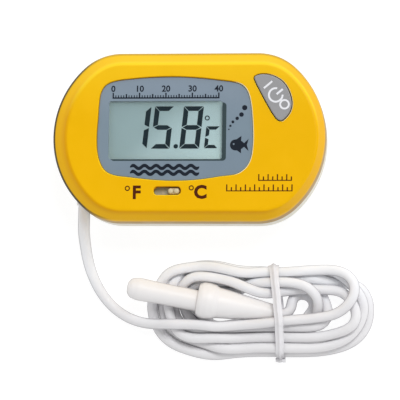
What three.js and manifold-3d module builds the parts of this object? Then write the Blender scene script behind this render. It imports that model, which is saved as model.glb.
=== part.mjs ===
// Digital aquarium thermometer: a wedge-edged display case with two suction cups,
// and a wired probe whose lead is coiled and held by a twist tie.
// Millimetres, +Z up. The case lies flat, display up, on its suction cups; the coil lies beside it
// on the -Y side.
import * as THREE from 'three';
import { mergeVertices } from 'three/addons/utils/BufferGeometryUtils.js';
import Module from 'manifold-3d';

const wasm = await Module();
wasm.setup();

// ---------- driving dimensions ----------
const CASE_L = 60.0;            // case length, X
const CASE_W = 37.6;            // case width, Y
const END_R = 21.3;             // radius of the bowed ends
const CORNER_R = 12.0;          // radius that joins each end to the straight sides
const Z_REAR = 5.5;             // outer face of the rear cover
const Z_SEAM = 12.0;            // parting line between the covers
const Z_EDGE = 16.5;            // top of the vertical wall of the front cover
const Z_FACE = 20.0;            // front face
const BEVEL = 2.45;             // mean width of the sloped edge
const CROWN = { x: 1.0, y: -0.6 };          // how far the face sits off the middle of the case
const WALL = 1.8;               // wall thickness
const PANEL_DEPTH = 0.9;        // depth of the seat of the face panel
const PANEL_T = 0.4;            // face panel thickness
const PCB_Z0 = 13.4;            // underside of the circuit board
const PCB_Z1 = PCB_Z0 + 1.0;    // top of the circuit board
const CUP_X = 19.8;             // suction cup centres, either side of the middle
const CUP_R = 8.5;              // suction cup rim radius
const CELL_X = 6.05;            // button cell centres, either side of the middle
const CELL_R = 5.8;
const CELL_H = 5.4;
const CELL_Z = 7.15;            // underside of the cells
const CABLE_R = 1.05;           // lead jacket radius
const LEAD_EXIT = { x: -24.0, z: 9.3 };     // axis of the lead where it leaves the case
const TIE_T = 0.55;             // twist tie thickness
const TIE_W = 1.8;              // twist tie width
const GAP = 0.02;               // assembly clearance between stacked flat pieces

const WINDOW_X = [-17.4, 7.7];  // clear display area
const WINDOW_Y = [-5.4, 7.5];
const OPENING_X = [WINDOW_X[0] - 0.6, WINDOW_X[1] + 1.2];   // display opening in the front cover
const OPENING_Y = [WINDOW_Y[0] - 0.8, WINDOW_Y[1] + 0.7];
const WINDOW_CLEARANCE = 0.12;  // window to edge of the opening
const DISPLAY_X = -4.4;         // middle of the display parts
const CASE_SCREW = { x: 16.8, y: 14.9 };
const BOSSES = [[-1, -1], [1, -1], [1, 1], [-1, 1]]
  .map(([sideX, sideY]) => [sideX * CASE_SCREW.x, sideY * CASE_SCREW.y]);
const POSTS = [[-22.0, -5.5], [22.5, -6.5]];                // board screw positions
const CORE_HOLES = { a: [-18.2, -7.5], b: [-18.2, -5.9] };  // board holes for the lead's cores
const POWER_SWITCH = { x: 19.4, y: 8.0 };

// ---------- vectors and solids ----------
const vec2 = (x, y) => new THREE.Vector2(x, y);
const vec3 = (x, y, z) => new THREE.Vector3(x, y, z);
const toVec2 = (pairs) => pairs.map(([x, y]) => vec2(x, y));
const span = (half) => [-half, half];

// closed manifold from a geometry, turned right side out if its faces point inwards
function solid(source) {
  const bare = source.clone();
  for (const key of Object.keys(bare.attributes)) {
    if (key !== 'position') bare.deleteAttribute(key);
  }
  const merged = mergeVertices(bare, 1e-4);
  const vertProperties = new Float32Array(merged.attributes.position.array);
  const index = merged.index.array;
  const triangles = [];
  for (let i = 0; i < index.length; i += 3) {
    const [a, b, c] = index.slice(i, i + 3);
    if (a !== b && b !== c && a !== c) triangles.push([a, b, c]);
  }
  const build = (faces) => new wasm.Manifold(
    new wasm.Mesh({ numProp: 3, vertProperties, triVerts: new Uint32Array(faces.flat()) }));
  const result = build(triangles);
  return result.volume() < 0 ? build(triangles.map(([a, b, c]) => [a, c, b])) : result;
}
function geometryOf(manifold) {
  const mesh = manifold.getMesh();
  const stride = mesh.numProp;
  const count = mesh.vertProperties.length / stride;
  const positions = new Float32Array(count * 3);
  for (let i = 0; i < count; i++) {
    for (let k = 0; k < 3; k++) positions[3 * i + k] = mesh.vertProperties[stride * i + k];
  }
  const geometry = new THREE.BufferGeometry();
  geometry.setAttribute('position', new THREE.BufferAttribute(positions, 3));
  geometry.setIndex(new THREE.BufferAttribute(new Uint32Array(mesh.triVerts), 1));
  geometry.computeVertexNormals();
  return geometry;
}
const join = (first, ...rest) => rest.reduce((sum, next) => sum.add(next), first);
const cut = (first, ...rest) => rest.reduce((left, next) => left.subtract(next), first);

function prismGeometry(points, z0, z1, holes = []) {
  const shape = new THREE.Shape(points);
  for (const hole of holes) shape.holes.push(new THREE.Path(hole));
  return new THREE.ExtrudeGeometry(shape, { depth: z1 - z0, bevelEnabled: false })
    .translate(0, 0, z0);
}
const prism = (points, z0, z1, holes) => solid(prismGeometry(points, z0, z1, holes));
const box = ([x0, x1], [y0, y1], [z0, z1]) =>
  solid(new THREE.BoxGeometry(x1 - x0, y1 - y0, z1 - z0)
    .translate((x0 + x1) / 2, (y0 + y1) / 2, (z0 + z1) / 2));
// upright rod, upright rods at several places, and a rod along Y
const rod = (x, y, radius, z0, z1, sides = 16) =>
  solid(new THREE.CylinderGeometry(radius, radius, z1 - z0, sides)
    .rotateX(Math.PI / 2).translate(x, y, (z0 + z1) / 2));
const rods = (places, radius, z0, z1, sides) =>
  places.map(([x, y]) => rod(x, y, radius, z0, z1, sides));
const rodY = (x, z, radius, y0, y1, sides = 16) =>
  solid(new THREE.CylinderGeometry(radius, radius, y1 - y0, sides).translate(x, (y0 + y1) / 2, z));
// revolve a profile of [radius, height] pairs about Z
const turned = (profile, segments) =>
  new THREE.LatheGeometry(toVec2(profile), segments).rotateX(Math.PI / 2);

// ---------- plan outlines ----------
const arcPoint = (x, y, radius, angle) =>
  vec2(x + radius * Math.cos(angle), y + radius * Math.sin(angle));
// counter-clockwise for turn 1, clockwise for turn -1
const circle = (x, y, radius, sides, turn = 1) =>
  Array.from({ length: sides }, (_, i) => arcPoint(x, y, radius, turn * 2 * Math.PI * i / sides));
const hole = (x, y, radius, sides) => circle(x, y, radius, sides, -1);

function roundRect([x0, x1], [y0, y1], radius, steps = 3) {
  const corners = [
    [x1 - radius, y1 - radius, 0], [x0 + radius, y1 - radius, 90],
    [x0 + radius, y0 + radius, 180], [x1 - radius, y0 + radius, 270],
  ];
  return corners.flatMap(([x, y, start]) => Array.from({ length: steps + 1 },
    (_, i) => arcPoint(x, y, radius, (start + 90 * i / steps) * Math.PI / 180)));
}
// plan outline of the case, moved inwards by inset, counter-clockwise
function outline(inset) {
  const endX = CASE_L / 2 - END_R;
  const cornerY = CASE_W / 2 - CORNER_R;
  const cornerX = endX + Math.sqrt((END_R - CORNER_R) ** 2 - cornerY * cornerY);
  const blend = Math.atan2(cornerY, cornerX - endX);     // where corner and end arcs meet
  const upper = [];
  for (let i = 0; i <= 5; i++) {
    const angle = Math.PI / 2 + (blend - Math.PI / 2) * i / 5;
    upper.push(arcPoint(cornerX, cornerY, CORNER_R - inset, angle));
  }
  for (let i = 1; i <= 3; i++) upper.push(arcPoint(endX, 0, END_R - inset, blend * (1 - i / 4)));
  const lower = upper.slice().reverse().map((point) => vec2(point.x, -point.y));
  const right = [...upper, vec2(CASE_L / 2 - inset, 0), ...lower];     // clockwise, +Y to -Y
  const left = right.map((point) => vec2(-point.x, -point.y));         // clockwise, -Y to +Y
  return [...right, ...left].reverse();
}
// the same outline, shifting towards the off-centre face as it narrows
const crownedOutline = (inset) => outline(inset).map((point) =>
  vec2(point.x + CROWN.x * inset / BEVEL, point.y + CROWN.y * inset / BEVEL));

// solid through a stack of outlines: each level is [z, inset]
function loft(shapeAt, levels) {
  const base = shapeAt(levels[0][1]);
  const rings = levels.map(([, inset]) => shapeAt(inset));
  const steps = levels.length - 1;
  const geometry = new THREE.ExtrudeGeometry(new THREE.Shape(base),
    { depth: 1, steps, bevelEnabled: false });
  const position = geometry.attributes.position;
  for (let i = 0; i < position.count; i++) {
    const level = Math.round(position.getZ(i) * steps);
    let nearest = 0;
    let least = Infinity;
    base.forEach((point, j) => {
      const distance = (point.x - position.getX(i)) ** 2 + (point.y - position.getY(i)) ** 2;
      if (distance < least) {
        least = distance;
        nearest = j;
      }
    });
    const target = rings[level][nearest];
    position.setXYZ(i, target.x, target.y, levels[level][0]);
  }
  return solid(geometry);
}
// closed smooth curve through plan points, sampled
const smooth = (pairs, count) =>
  new THREE.CatmullRomCurve3(pairs.map(([x, y]) => vec3(x, y, 0)), true)
    .getPoints(count).slice(0, count).map((point) => vec2(point.x, point.y));
// move a counter-clockwise outline outwards by distance
function grow(points, distance) {
  const count = points.length;
  return points.map((point, i) => {
    const before = points[(i + count - 1) % count];
    const after = points[(i + 1) % count];
    const along = after.clone().sub(before).normalize();
    return vec2(point.x + along.y * distance, point.y - along.x * distance);
  });
}

// ---------- sweeps ----------
// a path through given points, with one ring of the sweep at every point
class KnotPath extends THREE.Curve {
  constructor(points) {
    super();
    this.points = points;
    this.last = points.length - 1;
  }
  getPointAt(u, target = new THREE.Vector3()) {
    return target.copy(this.points[Math.round(u * this.last)]);
  }
  getTangentAt(u, target = new THREE.Vector3()) {
    const i = Math.round(u * this.last);
    const before = this.points[Math.max(i - 1, 0)];
    const after = this.points[Math.min(i + 1, this.last)];
    return target.copy(after).sub(before).normalize();
  }
}
const sweep = (points, radius, sides) =>
  solid(new THREE.ExtrudeGeometry(new THREE.Shape(circle(0, 0, radius, sides)),
    { steps: points.length - 1, bevelEnabled: false, extrudePath: new KnotPath(points) }));

// ---------- scene graph and shared finishes ----------
const model = new THREE.Group();
const assembly = new THREE.Group();
model.add(assembly);

function part(name, shape, finish, at = [0, 0, 0], parent = assembly) {
  const geometry = shape.isBufferGeometry ? shape : geometryOf(shape);
  const mesh = new THREE.Mesh(geometry, new THREE.MeshStandardMaterial(finish));
  mesh.name = name;
  mesh.position.set(...at);
  parent.add(mesh);
  return mesh;
}
const WHITE = '#e8e8e8';
const CREAM = '#f4f1ec';
const CORE_COLORS = { a: '#b43a32', b: '#e0dcd4' };
const REAR_FINISH = { color: '#e6e2d4', roughness: 0.4 };
const metal = (roughness) => ({ color: '#c9ccce', roughness, metalness: 1 });

// outlines of the face panel and the power button: x, y
const panelShape = smooth([
  [-19.73, 3.25], [-19.91, 1.02], [-19.83, -3.44], [-19.34, -5.66], [-18.2, -7.88],
  [-16.4, -8.88], [-12.41, -9.44], [-7.98, -9.95], [-2.46, -10.2], [3.04, -9.9],
  [7.43, -9.24], [11.16, -8.69], [12.9, -7.48], [13.98, -5.71], [14.49, -2.39],
  [14.5, 0.93], [14.06, 6.47], [13.37, 9.37], [12.25, 10.93], [10.48, 11.6],
  [7.16, 12.06], [2.74, 12.57], [-2.8, 12.87], [-8.34, 12.74], [-12.78, 12.38],
  [-16.11, 11.94], [-18.1, 11.17], [-19.18, 9.5], [-19.57, 6.59],
], 44);
const buttonShape = smooth([
  [14.54, 12.7], [14.88, 11.58], [16.01, 9.36], [17.58, 6.46], [18.92, 4.24],
  [19.81, 3.13], [20.69, 2.79], [21.56, 3.34], [22.65, 4.67], [23.17, 6.66],
  [22.6, 9.33], [21.26, 11.56], [19.27, 12.9], [17.07, 13.47], [15.31, 13.25],
], 30);

// ---------- front cover ----------
function frontCover() {
  const openingZ = 18.0;        // openings start here, below the inner surface of the face
  const throughZ = Z_FACE + 0.1;
  const shell = cut(
    loft(crownedOutline, [[Z_SEAM, 0], [Z_EDGE, 0], [Z_FACE, BEVEL]]),
    loft(outline, [[Z_SEAM - 0.1, WALL], [15.8, WALL], [18.2, 3.7]]));
  const bossed = join(shell,
    ...rods(BOSSES, 2.2, Z_SEAM, 16.7),
    ...rods(POSTS, 1.9, PCB_Z1 + GAP, 18.3, 12));
  return cut(bossed,
    ...rods(BOSSES, 1.2, Z_SEAM - 0.1, 15.9, 12),                          // screw bores
    ...rods(POSTS, 0.85, PCB_Z1 - 0.1, 17.2, 10),
    prism(grow(panelShape, 0.12), Z_FACE - PANEL_DEPTH, throughZ),         // panel seat
    prism(roundRect(OPENING_X, OPENING_Y, 1.0), openingZ, Z_FACE),
    prism(grow(buttonShape, 0.25), openingZ, throughZ),
    prism(roundRect([-7.2, -1.2], [-13.4, -11.55], 0.5, 4), openingZ, throughZ)) // knob slot
    .intersect(box(span(40), span(40), [0, Z_FACE]));                      // nothing above the face
}
part('front_cover', frontCover(), { color: '#f2b808', roughness: 0.42 });

// ---------- face panel, window and display ----------
function facePanel() {
  const bottom = Z_FACE - PANEL_DEPTH + GAP;
  const display = roundRect(WINDOW_X, WINDOW_Y, 0.4, 2).reverse();
  return prismGeometry(grow(panelShape, -0.06), bottom, bottom + PANEL_T, [display]);
}
function displayWindow() {
  const shrink = ([low, high]) => [low + WINDOW_CLEARANCE, high - WINDOW_CLEARANCE];
  return prismGeometry(roundRect(shrink(OPENING_X), shrink(OPENING_Y), 0.9), 18.25, 19.08);
}
part('face_panel', facePanel(), { color: '#7d8f9d', roughness: 0.45 });
part('display_window', displayWindow(),
  { color: '#dfe9ea', roughness: 0.08, transparent: true, opacity: 0.35 });
part('lcd_glass', new THREE.BoxGeometry(28.2, 16.0, 1.8),
  { color: '#a2b7b9', roughness: 0.15 }, [DISPLAY_X, 0.6, 17.2]);
part('lcd_reflector', new THREE.BoxGeometry(27.8, 13.8, 0.2),
  { color: '#b9c4c2', roughness: 0.35, metalness: 0.4 }, [DISPLAY_X, -0.3, 16.15]);
part('zebra_strip', new THREE.BoxGeometry(25.2, 1.5, 1.8),
  { color: '#3c3a3c', roughness: 0.8 }, [DISPLAY_X, 7.65, 15.36]);

// ---------- circuit board and what it carries ----------
function circuitBoard() {
  const edge = toVec2([
    [-8.3, -15.2], [8.3, -15.2], [8.3, -11.4], [20.5, -11.4], [24.3, -8.2], [24.3, 8.2],
    [20.5, 11.6], [-20.5, 11.6], [-24.3, 8.2], [-24.3, -8.2], [-20.5, -11.4], [-8.3, -11.4],
  ]);
  return prismGeometry(edge, PCB_Z0, PCB_Z1, [
    ...POSTS.map(([x, y]) => hole(x, y, 1.15, 12)),
    ...Object.values(CORE_HOLES).map(([x, y]) => hole(x, y, 0.45, 8)),
  ]);
}
// rectangular component on the underside of the board
function undersideComponent(name, [length, width, height], y, finish) {
  part(name, new THREE.BoxGeometry(length, width, height), finish,
    [17.6, y, PCB_Z0 - GAP - height / 2]);
}
part('circuit_board', circuitBoard(), { color: '#2f6b45', roughness: 0.55 });
part('chip_cover', turned([[0, 0], [3.2, 0], [3.0, 0.45], [2.0, 0.9], [0.9, 1.08], [0, 1.1]], 18),
  { color: '#16161a', roughness: 0.35 }, [-4.0, -1.0, PCB_Z1 + GAP]);
undersideComponent('reference_resistor', [3.2, 1.6, 0.6], -3.0,
  { color: '#20242a', roughness: 0.5 });
undersideComponent('decoupling_capacitor', [2.0, 1.25, 0.9], 0.2,
  { color: '#a98b62', roughness: 0.6 });

// ---------- power switch below the button: body, snap dome and plunger ----------
function powerSwitchBody() {
  const { x, y } = POWER_SWITCH;
  return cut(box([x - 3, x + 3], [y - 3, y + 3], [PCB_Z1 + GAP, 16.9]),
    rod(x, y, 1.85, 15.4, 17.0));
}
function powerButton() {
  const flange = prism(grow(buttonShape, 0.7), 17.45, 18.1)
    .intersect(prism(outline(4.1), 17.0, 19.0));            // kept clear of the case wall
  return join(prism(buttonShape, 18.0, 20.2), prism(grow(buttonShape, -0.35), 20.0, 20.4), flange);
}
const domeProfile = [[0, 0.2], [0.9, 0.14], [1.6, 0], [1.6, 0.1], [0.9, 0.24], [0, 0.3]];
const plungerProfile = [[0, 0], [1.4, 0], [1.55, 0.15], [1.55, 0.75], [1.3, 0.85], [1.3, 1.16],
  [0, 1.16]];
part('power_switch_body', powerSwitchBody(), { color: '#26282b', roughness: 0.6 });
part('power_switch_dome', turned(domeProfile, 16), metal(0.25),
  [POWER_SWITCH.x, POWER_SWITCH.y, 15.42]);
part('power_switch_plunger', turned(plungerProfile, 16), { color: '#d8d4cc', roughness: 0.5 },
  [POWER_SWITCH.x, POWER_SWITCH.y, 16.2]);
part('power_button', powerButton(), { color: '#a59e98', roughness: 0.55 });

// ---------- unit switch: body on the board, knob in the slot of the front cover ----------
function unitSwitchKnob() {
  const stemX = [-4.05, -1.5];
  const stemY = [-13.2, -11.75];
  const ridgeZ = [19.3, 19.95];
  return join(box([-7.3, 1.7], [-14.0, -10.9], [17.3, 18.05]),     // plate under the slot
    box(stemX, stemY, [18.0, 19.35]),
    box([stemX[0], -3.0], stemY, ridgeZ),
    box([-2.55, stemX[1]], stemY, ridgeZ),
    box([-3.9, -1.6], [-13.1, -11.85], [15.8, 17.4]));             // tongue into the body
}
part('unit_switch_body', cut(
  box([-9.2, 1.0], [-14.2, -10.75], [PCB_Z1 + GAP, 17.1]),
  box([-8.3, 0.1], [-13.3, -11.65], [15.6, 17.2])), { color: '#2b2d30', roughness: 0.6 });
part('unit_switch_knob', unitSwitchKnob(), { color: '#d7be8c', roughness: 0.5 });

// ---------- rear cover and battery door ----------
const rearShell = (top) => loft(outline,
  [[Z_REAR, 1.3], [Z_REAR + 0.45, 0.5], [Z_REAR + 1.4, 0.1], [top, 0.1]]);

function rearCover() {
  const top = Z_SEAM - 0.04;
  const below = 5.4;            // cuts through the outer face start here
  const lipInset = 2.95;        // inner edge of the lip and of the band under it
  const body = join(
    cut(rearShell(top), prism(outline(1.9), Z_REAR + 1.6, 13)),
    cut(prism(outline(1.5), 10.4, top), prism(outline(lipInset), 10.3, 12.1)),
    cut(prism(outline(2.0), 11.9, 13.0), prism(outline(lipInset), 11.8, 13.1)),
    prism(roundRect(span(13.9), span(7.4), 1.5), 7.0, 12.3),        // block round the cells
    box(span(14.5), [6.8, 17.6], [7.0, 8.3]),                       // plate above the door
    ...rods(BOSSES, 2.6, 7.0, Z_SEAM - 0.1));
  const doorY = [-7.6, 22];
  return cut(body,
    prism(roundRect(span(12.3), span(6.1), 1.2), below, 12.4),      // cell well
    ...rods(BOSSES, 2.5, Z_SEAM - 0.06, 13.1),                      // room for the front bosses
    ...rods(BOSSES, 2.25, below, 7.6),                              // screw head pockets
    ...rods(BOSSES, 1.35, 7.0, 12.1, 12),                           // screw shank holes
    ...rods([[-CUP_X, 0], [CUP_X, 0]], 2.75, below, 7.2, 20),       // suction cup necks
    box(span(12.6), doorY, [5.3, 6.25]),                            // door slot and its grooves
    box(span(13.5), doorY, [6.2, 7.12]),
    rodY(LEAD_EXIT.x, LEAD_EXIT.z, 1.75, -22, -10.8));
}
function batteryDoor() {
  const doorY = [-7.3, 22];
  const slab = join(box(span(12.35), doorY, [5.3, 6.35]), box(span(13.2), doorY, [6.3, 6.98]))
    .intersect(rearShell(9));
  const grips = [0, 1, 2, 3].map((i) =>
    box(span(5), [10.2 + 1.6 * i, 11.0 + 1.6 * i], [5.3, 5.85]));
  return cut(slab, ...grips, box(span(9.2), span(1.7), [6.72, 7.1]));   // last: seat of the link
}
part('rear_cover', rearCover(), REAR_FINISH);
part('battery_door', batteryDoor(), REAR_FINISH);
part('battery_link', new THREE.BoxGeometry(18, 3, 0.18), metal(0.3), [0, 0, 6.84]);

// ---------- cells and contacts ----------
const cellShape = () => turned([[0, 0], [4.9, 0], [4.9, 0.5], [CELL_R, 0.85],
  [CELL_R, CELL_H - 0.2], [CELL_R - 0.2, CELL_H], [0, CELL_H]], 24);
// bent leaf spring: side view in x and z, 3 mm wide in Y
const contactShape = () => prismGeometry(toVec2([
  [3, 13.36], [0.2, 13.36], [-3.6, 12.84], [-4.55, 13.1],
  [-4.75, 12.92], [-3.6, 12.6], [0.2, 13.12], [3, 13.12],
]), -1.5, 1.5).rotateX(Math.PI / 2);
const contactFinish = { color: '#c8a960', roughness: 0.35, metalness: 1 };

part('battery_cell_1', cellShape(), metal(0.28), [-CELL_X, 0, CELL_Z]);
part('battery_cell_2', cellShape(), metal(0.28), [CELL_X, 0, CELL_Z + CELL_H])
  .rotation.set(Math.PI, 0, 0);
part('battery_contact_positive', contactShape(), contactFinish, [-CELL_X + 2, 0, 0]);
part('battery_contact_negative', contactShape(), contactFinish, [CELL_X - 2, 0, 0])
  .rotation.set(0, 0, Math.PI);

// ---------- screws, head down, with a cross slot ----------
function screw({ headR, headH, shankR, length }) {
  const body = solid(turned([
    [0, 0], [headR * 0.86, 0], [headR, 0.25], [headR, headH - 0.35],
    [shankR, headH], [shankR, length - shankR], [0, length],
  ], 12));
  const slotWidth = span(headR * 0.22);
  const slotLength = span(headR * 0.62);
  const slotZ = [-0.1, headH * 0.5];
  return cut(body, box(slotWidth, slotLength, slotZ), box(slotLength, slotWidth, slotZ));
}
function screws(name, places, z, size) {
  places.forEach(([x, y], i) => part(`${name}_${i + 1}`, screw(size), metal(0.3), [x, y, z]));
}
const boardScrew = { headR: 1.6, headH: 1.1, shankR: 0.7, length: 4.2 };
screws('case_screw', BOSSES, 5.95, { headR: 1.9, headH: 1.5, shankR: 1.0, length: 9.2 });
screws('board_screw', POSTS, PCB_Z0 - GAP - boardScrew.headH, boardScrew);

// ---------- suction cups ----------
const cupProfile = [
  [0, 2.3], [4.6, 2.15], [CUP_R - 1.2, 1.1], [CUP_R - 0.72, 0.4], [CUP_R - 0.65, 0],   // hollow
  [CUP_R, 0], [CUP_R, 0.4], [CUP_R - 0.6, 0.95], [6.2, 2.5], [3.6, 3.5],               // back
  [2.35, 4.3], [2.35, 7.35], [3.3, 7.6], [3.3, 8.1], [2.0, 9.0], [0, 9.2],             // neck
];
for (const [side, x] of [['left', -CUP_X], ['right', CUP_X]]) {
  part(`suction_cup_${side}`, turned(cupProfile, 22), { color: '#dfe6e6', roughness: 0.2 },
    [x, 0, 0]);
}

// ---------- strain relief and the two cores inside the case ----------
part('cable_grommet', rodY(LEAD_EXIT.x, LEAD_EXIT.z, 1.65, -15.85, -11.0, 14),
  { color: WHITE, roughness: 0.5 });

// a core runs through the given x, y, z stations and up into its hole in the board
function boardLead(core, stations) {
  const [x, y] = CORE_HOLES[core];
  const knots = [...stations, [x, y, 13.2], [x, y, 14.1]].map((station) => vec3(...station));
  part(`board_lead_${core}`, sweep(new THREE.CatmullRomCurve3(knots).getPoints(12), 0.3, 6),
    { color: CORE_COLORS[core], roughness: 0.55 });
}
boardLead('a', [[-23.5, -10.9, 9.3], [-22.3, -9.7, 9.3], [-19.7, -8.1, 10.6],
  [-18.3, -7.55, 12.2]]);
boardLead('b', [[-24.35, -10.9, 9.3], [-23.7, -9.2, 9.2], [-21.8, -7.0, 9.5],
  [-19.6, -6.1, 10.8], [-18.3, -5.95, 12.2]]);

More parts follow.
